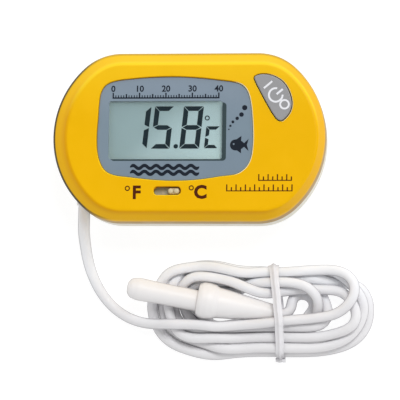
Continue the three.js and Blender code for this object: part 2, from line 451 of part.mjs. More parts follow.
// ---------- lead: one jacket from the strain relief, coiled, into the probe ----------
// centre line of the jacket: x, y, z of each point in turn
const LEAD_POINTS = [
  -24.07,-17,8.7, -24.29,-20.14,6.9, -24.18,-22.79,5.07, -23.96,-24.86,3.84, -23.39,-27.6,2.69, -22.35,-30.45,1.96,
  -21.48,-32.13,1.7, -20.51,-33.66,1.55, -19.39,-35.08,1.48, -18.19,-36.31,1.52, -16.87,-37.39,1.65, -15.45,-38.32,1.89,
  -13.95,-39.08,2.24, -12.41,-39.65,2.69, -9.91,-40.22,3.61, -6.88,-40.49,4.94, -5.09,-40.53,5.63, -3.7,-40.55,5.85,
  0.53,-40.64,5.84, 5.35,-41.04,5.75, 7.37,-41,5.68, 11.29,-40.69,5.72, 17.78,-40.15,6.36, 24.87,-39.36,5.83,
  30.36,-38.65,6.03, 32.27,-38.03,6.13, 33.82,-37.12,6.37, 35.1,-35.86,6.61, 35.98,-34.4,6.65, 36.33,-32.94,6.54,
  36.14,-31.45,6.39, 35.39,-30.16,6.23, 34.23,-29.22,6.03, 32.08,-28.48,5.64, 29.19,-28.29,5.24, 22.46,-28.7,5.38,
  17.73,-28.76,5.19, 11.72,-29.01,5.79, 9.63,-28.71,5.84, 6.89,-28.06,5.63, 4.46,-27.61,5.16, 2.39,-27.47,4.74,
  0.18,-27.61,4.63, -3.8,-28.1,5.03, -4.86,-28.38,4.92, -5.93,-28.85,4.61, -6.7,-29.41,4.27, -7.37,-30.2,3.89,
  -8.04,-31.38,3.51, -8.85,-33.51,3.09, -9.17,-34.74,2.76, -9.28,-35.86,2.32, -9.11,-37.74,1.61, -8.64,-39.45,1.25,
  -7.73,-41.35,1.19, -6.49,-42.94,1.23, -5.09,-44.1,1.23, -3.42,-45.03,1.21, -1.05,-45.88,1.17, 1.77,-46.62,1.14,
  3.67,-46.92,1.14, 5.28,-46.97,1.14, 12.3,-46.29,1.26, 18.1,-46.28,1.92, 20.02,-46.31,1.98, 25.12,-46.24,1.4,
  28.03,-46.06,1.2, 31.12,-45.58,1.14, 33.83,-44.8,1.14, 35.97,-43.68,1.14, 37.6,-42.18,1.14, 38.67,-40.37,1.14,
  39.24,-38.12,1.14, 39.23,-35.71,1.23, 38.55,-33.52,1.43, 38,-32.67,1.48, 37.29,-31.95,1.49, 36.53,-31.46,1.47,
  35.59,-31.11,1.44, 34.29,-30.92,1.48, 32.8,-30.89,1.74, 31.19,-30.79,2.31, 29.15,-30.41,3.09, 27.1,-30.13,3.49,
  23.78,-30.19,3.61, 19.57,-30.66,3.56, 16.95,-30.84,2.89, 15.76,-30.73,2.35, 14.71,-30.4,1.85, 13.16,-29.62,1.34,
  11.37,-28.72,1.18, 9.9,-28.35,1.15, 8.39,-28.32,1.14, 1,-29.34,1.14, -3.3,-30.76,1.14, -6.03,-31.47,1.14,
  -6.75,-31.84,1.14, -7.15,-32.29,1.14, -7.5,-33.24,1.14, -7.51,-34.04,1.14, -6.94,-36.8,1.14, -6.25,-39.02,1.14,
  -5.49,-40.44,1.14, -4.42,-41.64,1.14, -2.55,-42.81,1.14, 0.01,-43.74,1.25, 1.8,-44.27,1.65, 5.15,-45.35,2.88,
  6.78,-45.72,3.24, 8.48,-45.88,3.42, 13.41,-45.68,3.67, 18.92,-45.63,4.25, 21.13,-45.64,4.17, 25.64,-45.63,3.67,
  28.55,-45.42,3.49, 30.43,-45.06,3.43, 32.16,-44.52,3.38, 33.72,-43.81,3.32, 34.98,-42.98,3.24, 36.07,-41.94,3.21,
  37.02,-40.63,3.2, 37.69,-39.28,3.2, 38.11,-37.83,3.23, 38.22,-36.53,3.3, 38.05,-35.34,3.42, 37.6,-34.12,3.58,
  36.9,-33.02,3.73, 35.66,-31.57,3.85, 34.28,-30.24,3.78, 33.1,-29.33,3.53, 31.82,-28.65,3.13, 30.43,-28.26,2.68,
  28.78,-28.18,2.24, 26.4,-28.41,1.85, 23.7,-28.72,1.71, 20.29,-28.81,1.93, 14.79,-28.37,3.1, 11.19,-28.33,3.52,
  9.19,-28.04,3.51, 7.04,-27.54,3.32, 5.1,-27.19,2.91, 3.13,-27.04,2.5, 0.84,-27.23,2.26, -1.18,-27.84,2.38,
  -3.04,-28.94,2.85, -4.92,-30.79,3.49, -5.82,-32.23,3.35, -6.06,-33.06,3.08, -6.1,-33.96,3.02, -5.14,-37.97,3.29,
  -4.43,-39.96,3.37, -3.79,-41.21,3.54, -3.12,-42.07,3.73, -2.33,-42.68,3.86, -1.34,-43.15,3.96, -0.16,-43.44,4.05,
  1.94,-43.59,4.21, 5.16,-43.51,4.37, 9.74,-43.49,3.68, 12.05,-43.38,3.51, 14.06,-43.29,3.62, 18.46,-43.27,4.15,
  25.92,-43.28,4.1, 29.92,-42.86,4.3, 33.2,-42.06,4.85, 34.66,-41.46,5.18, 35.71,-40.71,5.37, 36.4,-39.72,5.42,
  36.68,-38.66,5.3, 36.54,-37.3,4.96, 35.87,-35.74,4.33, 34.95,-34.37,3.88, 33.9,-33.44,3.75, 32.72,-32.88,3.81,
  31.24,-32.61,3.96, 29.43,-32.57,4.04, 26.32,-32.47,3.8, 24.61,-32.51,3.82, 20.92,-32.9,4.21, 17.61,-33.43,4.9,
  15.78,-33.43,5.48, 14.01,-33.02,6.06, 12.53,-32.46,6.36, 11.14,-31.88,6.35, 8.31,-30.81,5.56, 6.6,-30.36,5.17,
  5.12,-30.1,5.09, 2.61,-29.82,5.21, 0.61,-29.89,5.08, -0.96,-30.42,4.66, -2.35,-31.47,3.88, -3.46,-32.61,2.82,
  -4.04,-33.37,1.92, -4.31,-34.01,1.51, -4.48,-34.86,1.25, -4.5,-35.96,1.15, -4.33,-37.16,1.14, -3.99,-38.21,1.17,
  -3.51,-39.09,1.28, -2.9,-39.85,1.54, -2.21,-40.45,1.97, -1.39,-40.9,2.56, -0.53,-41.12,3.04, 0.61,-41.25,3.41,
  1.92,-41.31,3.54, 6.45,-41.31,3.39, 10.07,-41.12,3.3, 13.08,-40.95,3.51, 18.49,-40.89,4.14, 25.64,-40.91,4.09,
  28.13,-40.59,4.14, 29.1,-40.08,3.96, 29.84,-39.2,3.61, 30.19,-38.23,3.22, 30.15,-37,2.77, 29.68,-35.33,2.23,
  28.83,-33.68,1.79, 27.85,-32.42,1.53, 26.71,-31.6,1.41, 25.29,-31.11,1.36, 23.88,-31.08,1.4, 22.71,-31.34,1.5,
  18.83,-32.69,2, 17.35,-32.97,1.9, 15.86,-33.01,1.69, 13.54,-32.45,1.35, 11.22,-31.25,1.17, 10.19,-30.84,1.25,
  8.95,-30.63,1.59, 6.36,-30.59,2.44, 3.77,-30.62,2.81, 2.17,-30.8,2.81, 0.83,-31.21,2.69, -0.39,-31.83,2.36,
  -1.09,-32.41,1.91, -1.71,-33.38,1.32, -2.09,-34.83,1.14, -2.01,-36.44,1.14, -1.38,-37.92,1.14, 0.65,-40.29,1.14,
  2.27,-41.8,1.14, 3.88,-42.62,1.14, 5.56,-42.94,1.14, 11.97,-42.3,1.22, 19.18,-42.34,2, 23.08,-42.52,1.55,
  24.27,-42.35,1.4, 25.21,-41.99,1.34, 25.98,-41.52,1.39, 26.64,-40.91,1.53, 27.21,-40.13,1.82, 27.56,-39.38,2.18,
  28.14,-36.05,4.54, 28.09,-35.22,5.12, 27.83,-34.39,5.62, 27.39,-33.67,5.95, 26.8,-33.01,6.14, 25.11,-31.92,6.16,
  22.88,-31.31,6.02, 19.67,-31.1,5.93, 17.49,-31.11,5.55, 14.51,-31.12,4.59, 13.17,-31.32,4.21, 11.67,-31.94,3.7,
  10.38,-32.68,2.85, 9.4,-32.98,2.04, 8.34,-32.96,1.45, 6.99,-32.7,1.15, 4.7,-32.39,1.14, 2.98,-32.42,1.14,
  1.82,-32.73,1.14, 1,-33.32,1.14, 0.45,-34.27,1.14, 0.24,-35.46,1.14, 0.5,-36.43,1.14, 1.34,-37.56,1.15,
  3.46,-39.72,1.2, 4.5,-40.33,1.18, 5.78,-40.58,1.15, 13.76,-39.49,1.29, 17.3,-39.96,1.88, 20.11,-39.79,2.07,
  21.02,-39.83,2.03, 22.58,-40.14,1.77, 23.74,-40.03,1.48, 24.45,-39.69,1.32, 25.06,-39.16,1.23, 26.86,-36.49,1.16,
  26.98,-35.7,1.15, 26.84,-35,1.16, 26.43,-34.31,1.16, 25.81,-33.79,1.2, 25.17,-33.52,1.29, 24.38,-33.42,1.46,
  23.62,-33.54,1.69, 23.03,-33.85,1.93, 22.41,-34.67,2.34, 21.72,-37.11,3.28, 21.2,-37.65,3.58, 20.5,-37.95,3.85,
  19.33,-37.92,4.14, 13.29,-36.91,4.74,
];
const leadPath = [];
for (let i = 0; i < LEAD_POINTS.length; i += 3) leadPath.push(vec3(...LEAD_POINTS.slice(i, i + 3)));
part('sensor_cable', sweep(leadPath, CABLE_R, 6), { color: WHITE, roughness: 0.45 });

// ---------- probe: local Z runs from the tip to the lead ----------
const probe = new THREE.Group();
const probeAxis = vec3(0.98218, -0.16120, -0.09658).normalize();
probe.position.set(-13.749, -32.474, 7.400);
probe.quaternion.setFromUnitVectors(vec3(0, 0, 1), probeAxis);
assembly.add(probe);
const probePart = (name, shape, color, roughness) =>
  part(name, shape, { color, roughness }, [0, 0, 0], probe);

const CORE_X = 0.45;            // probe cores, either side of the axis
const tubeProfile = [
  [0, -0.55], [1.2, -0.27], [2.05, 0.45], [2.42, 1.8], [2.42, 16.4],     // outside
  [1.75, 16.4], [1.75, 2.2], [1.2, 1.4], [0, 1.2],                       // bore
];
const bootProfile = [
  [0.8, 13.5], [1.6, 13.5], [1.6, 16.55], [3.2, 16.55], [3.9, 17.2], [4.0, 18.3], [3.85, 19.5],
  [3.4, 20.2], [2.9, 24], [2.3, 28.5], [1.75, 33.1], [1.35, 33.1], [1.35, 21.0], [0.8, 21.0],
];
const thermistorProfile = [[0, 3.0], [0.7, 3.2], [1.1, 4.0], [1.1, 4.6], [0.6, 5.4], [0, 5.6]];
probePart('probe_tube', turned(tubeProfile, 20), CREAM, 0.35);
probePart('probe_boot', turned([...bootProfile, bootProfile[0]], 20), CREAM, 0.45);
probePart('thermistor', turned(thermistorProfile, 14), '#2a2320', 0.3);
probePart('probe_sealant', prismGeometry(circle(0, 0, 1.65, 16), 7.0, 13.2,
  [hole(CORE_X, 0, 0.36, 8), hole(-CORE_X, 0, 0.36, 8)]), '#cfc9b4', 0.4);
probePart('probe_lead_a', rod(CORE_X, 0, 0.25, 5.8, 27.2, 6), CORE_COLORS.a, 0.5);
probePart('probe_lead_b', rod(-CORE_X, 0, 0.25, 5.8, 27.2, 6), CORE_COLORS.b, 0.5);

// ---------- twist tie round the coil: local X crosses the coil, local Y is up ----------
const tie = new THREE.Group();
const across = vec3(0.05642, -0.99841, 0);
tie.position.set(18.416, -27.386, 0);
tie.quaternion.setFromRotationMatrix(
  new THREE.Matrix4().makeBasis(across, vec3(0, 0, 1), vec3(across.y, -across.x, 0)));
assembly.add(tie);

// inner face of the strip, counter-clockwise: local x, y
const wrap = toVec2([
  [0.038, 5.54], [-0.075, 4.321], [-0.167, 3.098], [-0.088, 1.893], [0.689, 0.957],
  [1.868, 0.715], [3.094, 0.682], [4.319, 0.649], [5.545, 0.628], [6.771, 0.629],
  [7.997, 0.629], [9.223, 0.63], [10.449, 0.63], [11.675, 0.63], [12.901, 0.631],
  [14.127, 0.631], [15.353, 0.631], [16.579, 0.632], [17.805, 0.632], [19.031, 0.635],
  [20.078, 1.183], [20.268, 2.35], [19.919, 3.525], [19.564, 4.698], [18.697, 5.509],
  [17.549, 5.94], [16.402, 6.372], [15.254, 6.804], [14.107, 7.236], [12.954, 7.652],
  [11.732, 7.637], [10.507, 7.577], [9.283, 7.517], [8.058, 7.457], [6.834, 7.397],
  [5.609, 7.337], [4.385, 7.277], [3.175, 7.124], [1.999, 6.777], [0.825, 6.424],
]);
// twisted ends: a tapered stub, flattened and turned about its own axis
function twistedEnds() {
  const flatten = 0.72;
  const turnPerMm = 1.1;        // radians
  const stub = new THREE.CylinderGeometry(0.62, 0.42, 2.4, 8, 6);
  const position = stub.attributes.position;
  for (let i = 0; i < position.count; i++) {
    const x = position.getX(i);
    const y = position.getY(i);
    const z = position.getZ(i) * flatten;
    const cos = Math.cos(y * turnPerMm);
    const sin = Math.sin(y * turnPerMm);
    position.setXYZ(i, x * cos - z * sin, y, x * sin + z * cos);
  }
  return solid(stub.rotateX(Math.PI / 2).translate(20.95, 1.75, 1.6));
}
const strip = prism(grow(wrap, TIE_T), -TIE_W / 2, TIE_W / 2, [wrap.slice().reverse()]);
part('twist_tie', join(strip, twistedEnds()), { color: WHITE, roughness: 0.5 }, [0, 0, 0], tie);

// ---------- origin: middle of the object's footprint, on the plane it rests on ----------
model.updateMatrixWorld(true);
const bounds = new THREE.Box3().setFromObject(model, true);
const centre = bounds.getCenter(vec3(0, 0, 0));
assembly.position.set(-centre.x, -centre.y, -bounds.min.z);
model.updateMatrixWorld(true);

export default model;
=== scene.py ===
"""Digital aquarium thermometer: a yellow case with a display, a coiled lead and a probe.

The case lies face up on two suction cups over the floor at Z = 0. X runs along it, Y across
it, and the power button is towards +X and +Y. The lead leaves at -Y near the -X end; its
coil and the probe lie on the -Y side. Shapes are worked out in millimetres with the origin
at the middle of the case, then moved to the frame.
"""
import math

import bmesh
import bpy
import numpy as np
from mathutils import Matrix, Vector


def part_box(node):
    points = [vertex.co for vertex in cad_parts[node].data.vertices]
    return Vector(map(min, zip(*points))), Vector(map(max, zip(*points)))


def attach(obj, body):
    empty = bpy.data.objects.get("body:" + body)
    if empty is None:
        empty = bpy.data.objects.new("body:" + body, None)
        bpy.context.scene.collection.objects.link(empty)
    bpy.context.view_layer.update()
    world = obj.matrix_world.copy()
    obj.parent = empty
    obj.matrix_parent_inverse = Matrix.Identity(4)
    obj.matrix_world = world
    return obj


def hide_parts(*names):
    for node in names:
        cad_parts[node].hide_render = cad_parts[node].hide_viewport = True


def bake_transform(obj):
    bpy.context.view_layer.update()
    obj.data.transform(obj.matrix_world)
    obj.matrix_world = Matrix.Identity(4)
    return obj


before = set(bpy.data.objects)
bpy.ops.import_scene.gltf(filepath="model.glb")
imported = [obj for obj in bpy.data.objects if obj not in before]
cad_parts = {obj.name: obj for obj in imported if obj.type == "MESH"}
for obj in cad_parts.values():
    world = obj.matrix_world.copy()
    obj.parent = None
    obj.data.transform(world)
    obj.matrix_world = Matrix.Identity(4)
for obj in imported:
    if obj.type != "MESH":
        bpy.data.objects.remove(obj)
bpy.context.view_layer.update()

cover_low, cover_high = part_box("front_cover")
CASE_X = (cover_low.x + cover_high.x) * 500.0  # middle of the case in the frame, mm
CASE_Y = (cover_low.y + cover_high.y) * 500.0
CASE_MIDDLE = np.array([CASE_X, CASE_Y, 0.0])
UP = np.array([0, 0, 1.0])
COLLECTION = bpy.context.scene.collection


def table(text, columns):
    return np.array(text.split(), float).reshape(-1, columns)


# ---------------------------------------------------------------- driving dimensions (mm)
CASE_LENGTH, CASE_WIDTH = 60.0, 37.6
END_RADIUS, CORNER_RADIUS = 21.3, 12.0
STRETCH = 1.009  # the moulded ends stand this much further out
REAR_Z, SEAM_Z, EDGE_Z, FACE_Z = 5.5, 12.0, 16.5, 20.0
BEVEL = 2.45  # inset of the face from the plan outline
CROWN = np.array([1.0, -0.6])  # the face sits a little off the middle of the case
SCREW_X, SCREW_Y = 16.8, 14.9
SCREWS = [(-SCREW_X, -SCREW_Y), (SCREW_X, -SCREW_Y), (SCREW_X, SCREW_Y), (-SCREW_X, SCREW_Y)]
POSTS = [(-22.0, -5.5), (22.5, -6.5)]
CUP_X = 19.8
GROMMET_X, GROMMET_Z = -24.0, 9.3
# bottom and top of the thin printed layers
SEGMENT_Z = (18.103, 18.14)
PANEL_PRINT_Z = (19.5205, 19.545)
FACE_PRINT_Z = (20.0005, 20.022)
BUTTON_PRINT_Z = (20.4005, 20.425)
# x, y around the face panel, counter-clockwise
PANEL_POINTS = table("""
-19.73 3.25 -19.91 1.02 -19.83 -3.44 -19.34 -5.66 -18.2 -7.88 -16.4 -8.88 -12.41 -9.44
-7.98 -9.95 -2.46 -10.2 3.04 -9.9 7.43 -9.24 11.16 -8.69 12.9 -7.48 13.98 -5.71 14.49 -2.39
14.5 0.93 14.06 6.47 13.37 9.37 12.25 10.93 10.48 11.6 7.16 12.06 2.74 12.57 -2.8 12.87
-8.34 12.74 -12.78 12.38 -16.11 11.94 -18.1 11.17 -19.18 9.5 -19.57 6.59""", 2)
# x, y around the power button, counter-clockwise
BUTTON_POINTS = table("""
14.54 12.7 14.88 11.58 16.01 9.36 17.58 6.46 18.92 4.24 19.81 3.13 20.69 2.79 21.56 3.34
22.65 4.67 23.17 6.66 22.6 9.33 21.26 11.56 19.27 12.9 17.07 13.47 15.31 13.25""", 2)


# ---------------------------------------------------------------- plan curves
def run_lengths(path):
    steps = np.linalg.norm(np.diff(path, axis=0), axis=1)
    return np.concatenate([[0], np.cumsum(steps)])


def even(curve, count):
    """Closed curve sampled evenly along its length."""
    loop = np.vstack([curve, curve[:1]])
    runs = run_lengths(loop)
    stops = np.linspace(0, runs[-1], count + 1)[:count]
    return np.stack([np.interp(stops, runs, column) for column in loop.T], 1)


def catmull(points, count):
    """Closed centripetal curve through the points, sampled evenly."""
    total = len(points)
    fine = []
    for i in range(total):
        before, start, end, after = (points[(i + k) % total] for k in (-1, 0, 1, 2))
        span0, span1, span2 = (np.linalg.norm(v) ** 0.5
                               for v in (start - before, end - start, after - end))
        slope0 = ((start - before) / span0 - (end - before) / (span0 + span1)
                  + (end - start) / span1) * span1
        slope1 = ((end - start) / span1 - (after - start) / (span1 + span2)
                  + (after - end) / span2) * span1
        for s in np.linspace(0, 1, 24, endpoint=False):
            fine.append((2 * s**3 - 3 * s**2 + 1) * start + (s**3 - 2 * s**2 + s) * slope0
                        + (3 * s**2 - 2 * s**3) * end + (s**3 - s**2) * slope1)
    return even(np.array(fine), count)


def relax(curve, times):
    for _ in range(times):
        curve = 0.25 * np.roll(curve, 1, 0) + 0.5 * curve + 0.25 * np.roll(curve, -1, 0)
    return curve


def outward(curve):
    """Unit outward normals of a counter-clockwise curve."""
    along = np.roll(curve, -1, 0) - np.roll(curve, 1, 0)
    along /= np.linalg.norm(along, axis=1)[:, None]
    return np.stack([along[:, 1], -along[:, 0]], 1)


def grow(curve, distance):
    return curve + outward(curve) * distance


def ccw(curve):
    """The same curve, run counter-clockwise."""
    curve = np.array(curve, float)
    x, y = curve[:, 0], curve[:, 1]
    area = np.sum(x * np.roll(y, -1) - np.roll(x, -1) * y)
    return curve if area > 0 else curve[::-1]


def outline(inset):
    """Plan outline of the case moved inwards; every one has the same number of points."""
    side_steps, corner_steps, end_steps = 18, 22, 16
    end_x, corner_y = CASE_LENGTH / 2 - END_RADIUS, CASE_WIDTH / 2 - CORNER_RADIUS
    corner_x = end_x + math.sqrt((END_RADIUS - CORNER_RADIUS) ** 2 - corner_y * corner_y)
    join_angle = math.atan2(corner_y, corner_x - end_x)
    end_radius, corner_radius = END_RADIUS - inset, CORNER_RADIUS - inset
    points = []
    for i in range(end_steps):  # +X end, +Y half
        turn = join_angle * i / end_steps
        points.append((end_x + end_radius * math.cos(turn), end_radius * math.sin(turn)))
    for i in range(corner_steps):
        turn = join_angle + (math.pi / 2 - join_angle) * i / corner_steps
        points.append((corner_x + corner_radius * math.cos(turn),
                       corner_y + corner_radius * math.sin(turn)))
    for i in range(side_steps):  # +X half of the +Y side
        points.append((corner_x * (1 - i / side_steps), CASE_WIDTH / 2 - inset))
    mirrored = [[-x, y] for x, y in [(0.0, CASE_WIDTH / 2 - inset)] + points[:0:-1]]
    half = np.vstack([points, mirrored])
    return np.vstack([half, -half]) * (STRETCH, 1.0)


def round_rect(x0, x1, y0, y1, radius, steps=8, parts=6):
    """Rounded rectangle; steps per corner and parts per straight side."""
    corners = [(x1 - radius, y1 - radius, 0), (x0 + radius, y1 - radius, 90),
               (x0 + radius, y0 + radius, 180), (x1 - radius, y0 + radius, 270)]
    points = []
    for k, (x, y, start) in enumerate(corners):
        for i in range(steps + 1):
            turn = math.radians(start + 90 * i / steps)
            points.append((x + radius * math.cos(turn), y + radius * math.sin(turn)))
        next_x, next_y, _ = corners[(k + 1) % 4]
        turn = math.radians(start + 90)
        here = np.array(points[-1])
        there = np.array([next_x + radius * math.cos(turn), next_y + radius * math.sin(turn)])
        for i in range(1, parts):
            points.append(tuple(here + (there - here) * i / parts))
    return np.array(points)


def rect(x0, x1, y0, y1):
    return [(x0, y0), (x1, y0), (x1, y1), (x0, y1)]


def circle(x, y, radius, count=48):
    turn = np.arange(count) * 2 * math.pi / count
    return np.stack([x + radius * np.cos(turn), y + radius * np.sin(turn)], 1)


# ---------------------------------------------------------------- meshes (mm)
def clean(mesh, weld=1e-5, shortest=1e-6):
    """Weld doubles, drop degenerate edges and turn the normals outwards."""
    work = bmesh.new()
    work.from_mesh(mesh)
    bmesh.ops.remove_doubles(work, verts=work.verts, dist=weld)
    bmesh.ops.dissolve_degenerate(work, edges=work.edges, dist=shortest)
    bmesh.ops.recalc_face_normals(work, faces=work.faces)
    work.to_mesh(mesh)
    work.free()
    return mesh


def mesh_of(verts, faces):
    mesh = bpy.data.meshes.new("m")
    mesh.from_pydata([tuple(map(float, v)) for v in verts], [],
                     [list(map(int, face)) for face in faces])
    return clean(mesh)


def loft(rings, loop=False):
    """Skin equal rings in order; the ends are capped unless the stack is a loop."""
    count, total = len(rings[0]), len(rings)
    faces = []
    for k in range(total if loop else total - 1):
        near, far = k * count, (k + 1) % total * count
        for i in range(count):
            j = (i + 1) % count
            faces.append((near + i, near + j, far + j, far + i))
    if not loop:
        faces.append(range(count)[::-1])
        faces.append(range((total - 1) * count, total * count))
    return mesh_of(np.vstack(rings), faces)


def ring(curve, z):
    return np.column_stack([curve, np.full(len(curve), float(z))])


def prism(curve, z0, z1):
    curve = ccw(curve)
    return loft([ring(curve, z0), ring(curve, z1)])


def prisms(curves, span):
    return [prism(curve, *span) for curve in curves]


def quarter(radius, steps):
    """Offsets (1 - cos, 1 - sin) of a quarter round; one zero pair for a square edge."""
    if not radius:
        return [(0.0, 0.0)]
    turns = [math.pi / 2 * i / steps for i in range(steps + 1)]
    return [(radius * (1 - math.cos(turn)), radius * (1 - math.sin(turn))) for turn in turns]


def plate(curve, z0, z1, top=0.0, bottom=0.0, steps=4):
    """Prism over a counter-clockwise curve with rounded top and bottom edges."""
    rings = [ring(grow(curve, -inset), z0 + rise) for rise, inset in quarter(bottom, steps)]
    rings += [ring(grow(curve, -inset), z1 - drop) for inset, drop in quarter(top, steps)]
    return loft(rings)


def hole(curve, z0, face, fillet, steps=6):
    """Cutter whose mouth flares, so that the cut edge comes out rounded."""
    rings = [ring(curve, z0)]
    last = math.radians(74)
    radius = fillet / math.sin(last)
    for i in range(steps + 1):
        turn = last * i / steps
        rings.append(ring(grow(curve, radius * (1 - math.cos(turn))),
                          face - fillet + radius * math.sin(turn)))
    flare = radius * (1 - math.cos(last))
    rings.append(ring(grow(curve, flare + 0.3), face + 0.3 / math.tan(last)))
    return loft(rings)


def box_mesh(x0, x1, y0, y1, z0, z1, radius=0.0):
    if radius:
        return plate(round_rect(x0, x1, y0, y1, radius, 5, 2), z0, z1,
                     radius * 0.7, radius * 0.7, 3)
    verts = [(x, y, z) for z in (z0, z1) for y in (y0, y1) for x in (x0, x1)]
    return mesh_of(verts, [(0, 2, 3, 1), (4, 5, 7, 6), (0, 1, 5, 4),
                           (2, 6, 7, 3), (0, 4, 6, 2), (1, 3, 7, 5)])


def rod(x, y, radius, z0, z1, count=40):
    return prism(circle(x, y, radius, count), z0, z1)


def annulus(x, y, outer_radius, inner_radius, z0, z1):
    outside, inside = circle(x, y, outer_radius, 40), circle(x, y, inner_radius, 40)
    return loft([ring(outside, z0), ring(outside, z1), ring(inside, z1), ring(inside, z0)],
                loop=True)


def arc_band(x, y, radius, width, start, end, z0, z1, steps=40):
    """Flat band along an arc between two angles in degrees."""
    rings = []
    for i in range(steps + 1):
        turn = math.radians(start + (end - start) * i / steps)
        (x_in, y_in), (x_out, y_out) = (
            (x + r * math.cos(turn), y + r * math.sin(turn))
            for r in (radius - width / 2, radius + width / 2))
        rings.append(np.array([[x_in, y_in, z0], [x_out, y_out, z0],
                               [x_out, y_out, z1], [x_in, y_in, z1]]))
    return loft(rings)


def lathe(profile, count=64):
    """Revolve (radius, height) rows about Z; they end on the axis or close on themselves."""
    points = np.array(profile, float)
    on_axis = points[0, 0] < 1e-9 and points[-1, 0] < 1e-9
    verts, index = [], []
    for radius, z in points:
        if radius < 1e-9:
            index.append([len(verts)] * count)
            verts.append((0, 0, z))
        else:
            index.append(list(range(len(verts), len(verts) + count)))
            verts += [(radius * math.cos(2 * math.pi * i / count),
                       radius * math.sin(2 * math.pi * i / count), z) for i in range(count)]
    faces = []
    for k in range(len(index) - 1 if on_axis else len(index)):
        near, far = index[k], index[(k + 1) % len(index)]
        for i in range(count):
            j = (i + 1) % count
            face = list(dict.fromkeys((near[i], near[j], far[j], far[i])))
            if len(face) > 2:
                faces.append(face)
    return mesh_of(verts, faces)


def soften(rows, steps=4, closed=False):
    """Round the corners of a profile; each row is a point and the radius of its corner."""
    points = [np.array(row[:2], float) for row in rows]
    rounded = []
    for i, corner in enumerate(points):
        radius = rows[i][2]
        if radius <= 0 or not closed and i in (0, len(points) - 1):
            rounded.append(corner)
            continue
        back = points[i - 1] - corner
        ahead = points[(i + 1) % len(points)] - corner
        back_length, ahead_length = np.linalg.norm(back), np.linalg.norm(ahead)
        back, ahead = back / back_length, ahead / ahead_length
        turn = math.pi - math.acos(np.clip(back @ ahead, -1, 1))
        if turn < 0.05:
            rounded.append(corner)
            continue
        reach = min(radius * math.tan(turn / 2), back_length * 0.45, ahead_length * 0.45)
        start, end = corner + back * reach, corner + ahead * reach
        for k in range(steps + 1):
            s = k / steps
            rounded.append((1 - s) ** 2 * start + 2 * s * (1 - s) * corner + s * s * end)
    return rounded


def baked(obj):
    """Evaluated mesh of a temporary object, which is removed."""
    bpy.context.view_layer.update()
    graph = bpy.context.evaluated_depsgraph_get()
    mesh = bpy.data.meshes.new_from_object(obj.evaluated_get(graph), depsgraph=graph)
    bpy.data.objects.remove(obj)
    return mesh


def boolean(mesh, others, operation):
    for other in others:
        target = bpy.data.objects.new("tmp_a", mesh)
        tool = bpy.data.objects.new("tmp_b", other)
        COLLECTION.objects.link(target)
        COLLECTION.objects.link(tool)
        modifier = target.modifiers.new("cut", "BOOLEAN")
        modifier.operation, modifier.solver, modifier.object = operation, "EXACT", tool
        mesh = baked(target)
        bpy.data.objects.remove(tool)
    return mesh


def cut(mesh, *others):
    return boolean(mesh, others, "DIFFERENCE")


def join(mesh, *others):
    return boolean(mesh, others, "UNION")


def common(mesh, *others):
    return boolean(mesh, others, "INTERSECT")


def together(*meshes):
    """Separate closed shells in one mesh."""
    work = bmesh.new()
    for mesh in meshes:
        work.from_mesh(mesh)
    merged = bpy.data.meshes.new("m")
    work.to_mesh(merged)
    work.free()
    return merged


def moved(mesh, matrix):
    mesh.transform(matrix)
    return mesh


def placed(mesh, x, y, z, turn=0.0):
    """Turn a mesh about Z by degrees, then shift it."""
    spin = Matrix.Rotation(math.radians(turn), 4, "Z")
    return moved(mesh, Matrix.Translation((x, y, z)) @ spin)


def text_mesh(text, size, bold, x, y, span):
    curve = bpy.data.curves.new("t", "FONT")
    curve.body, curve.size, curve.offset = text, size, bold
    curve.extrude = (span[1] - span[0]) / 2
    curve.resolution_u = 3
    curve.align_x, curve.align_y = "CENTER", "CENTER"
    obj = bpy.data.objects.new("t", curve)
    COLLECTION.objects.link(obj)
    mesh = clean(baked(obj), weld=1e-4, shortest=1e-5)
    return placed(mesh, x, y, (span[0] + span[1]) / 2)


def frame_matrix(origin, x, y, z):
    matrix = np.eye(4)
    for column, values in enumerate((x, y, z, origin)):
        matrix[:3, column] = values
    return Matrix(matrix)


def piece(name, mesh, finish, replaces=None, body="case", angle=32, weighted=True):
    """Put a finished mesh into the frame and let it ride on a body."""
    mesh.name = name
    mesh.transform(Matrix.Translation(Vector(CASE_MIDDLE)))
    mesh.transform(Matrix.Scale(0.001, 4))
    for polygon in mesh.polygons:
        polygon.use_smooth = True
    mesh.set_sharp_from_angle(angle=math.radians(angle))
    mesh.materials.clear()
    mesh.materials.append(MATERIALS[finish])
    mesh.update()
    obj = bpy.data.objects.new(name, mesh)
    COLLECTION.objects.link(obj)
    if weighted:
        modifier = obj.modifiers.new("normals", "WEIGHTED_NORMAL")
        modifier.keep_sharp = True
        modifier.weight = 80
    if replaces:
        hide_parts(replaces)
    if body:
        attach(obj, body)
    return obj


def mark(name, mesh, finish, body="case"):
    """Thin printed layer."""
    return piece(name, mesh, finish, body=body, angle=20, weighted=False)


# ---------------------------------------------------------------- materials
WHITE = (1, 1, 1, 1)


def rgb(*values):
    """Linear colour from display values 0-255."""
    parts = [value / 255.0 for value in values]
    return tuple(c / 12.92 if c <= 0.04045 else ((c + 0.055) / 1.055) ** 2.4
                 for c in parts) + (1.0,)


def scaled(color, factor):
    return tuple(min(1.0, max(0.0, v * factor)) for v in color[:3]) + (1.0,)


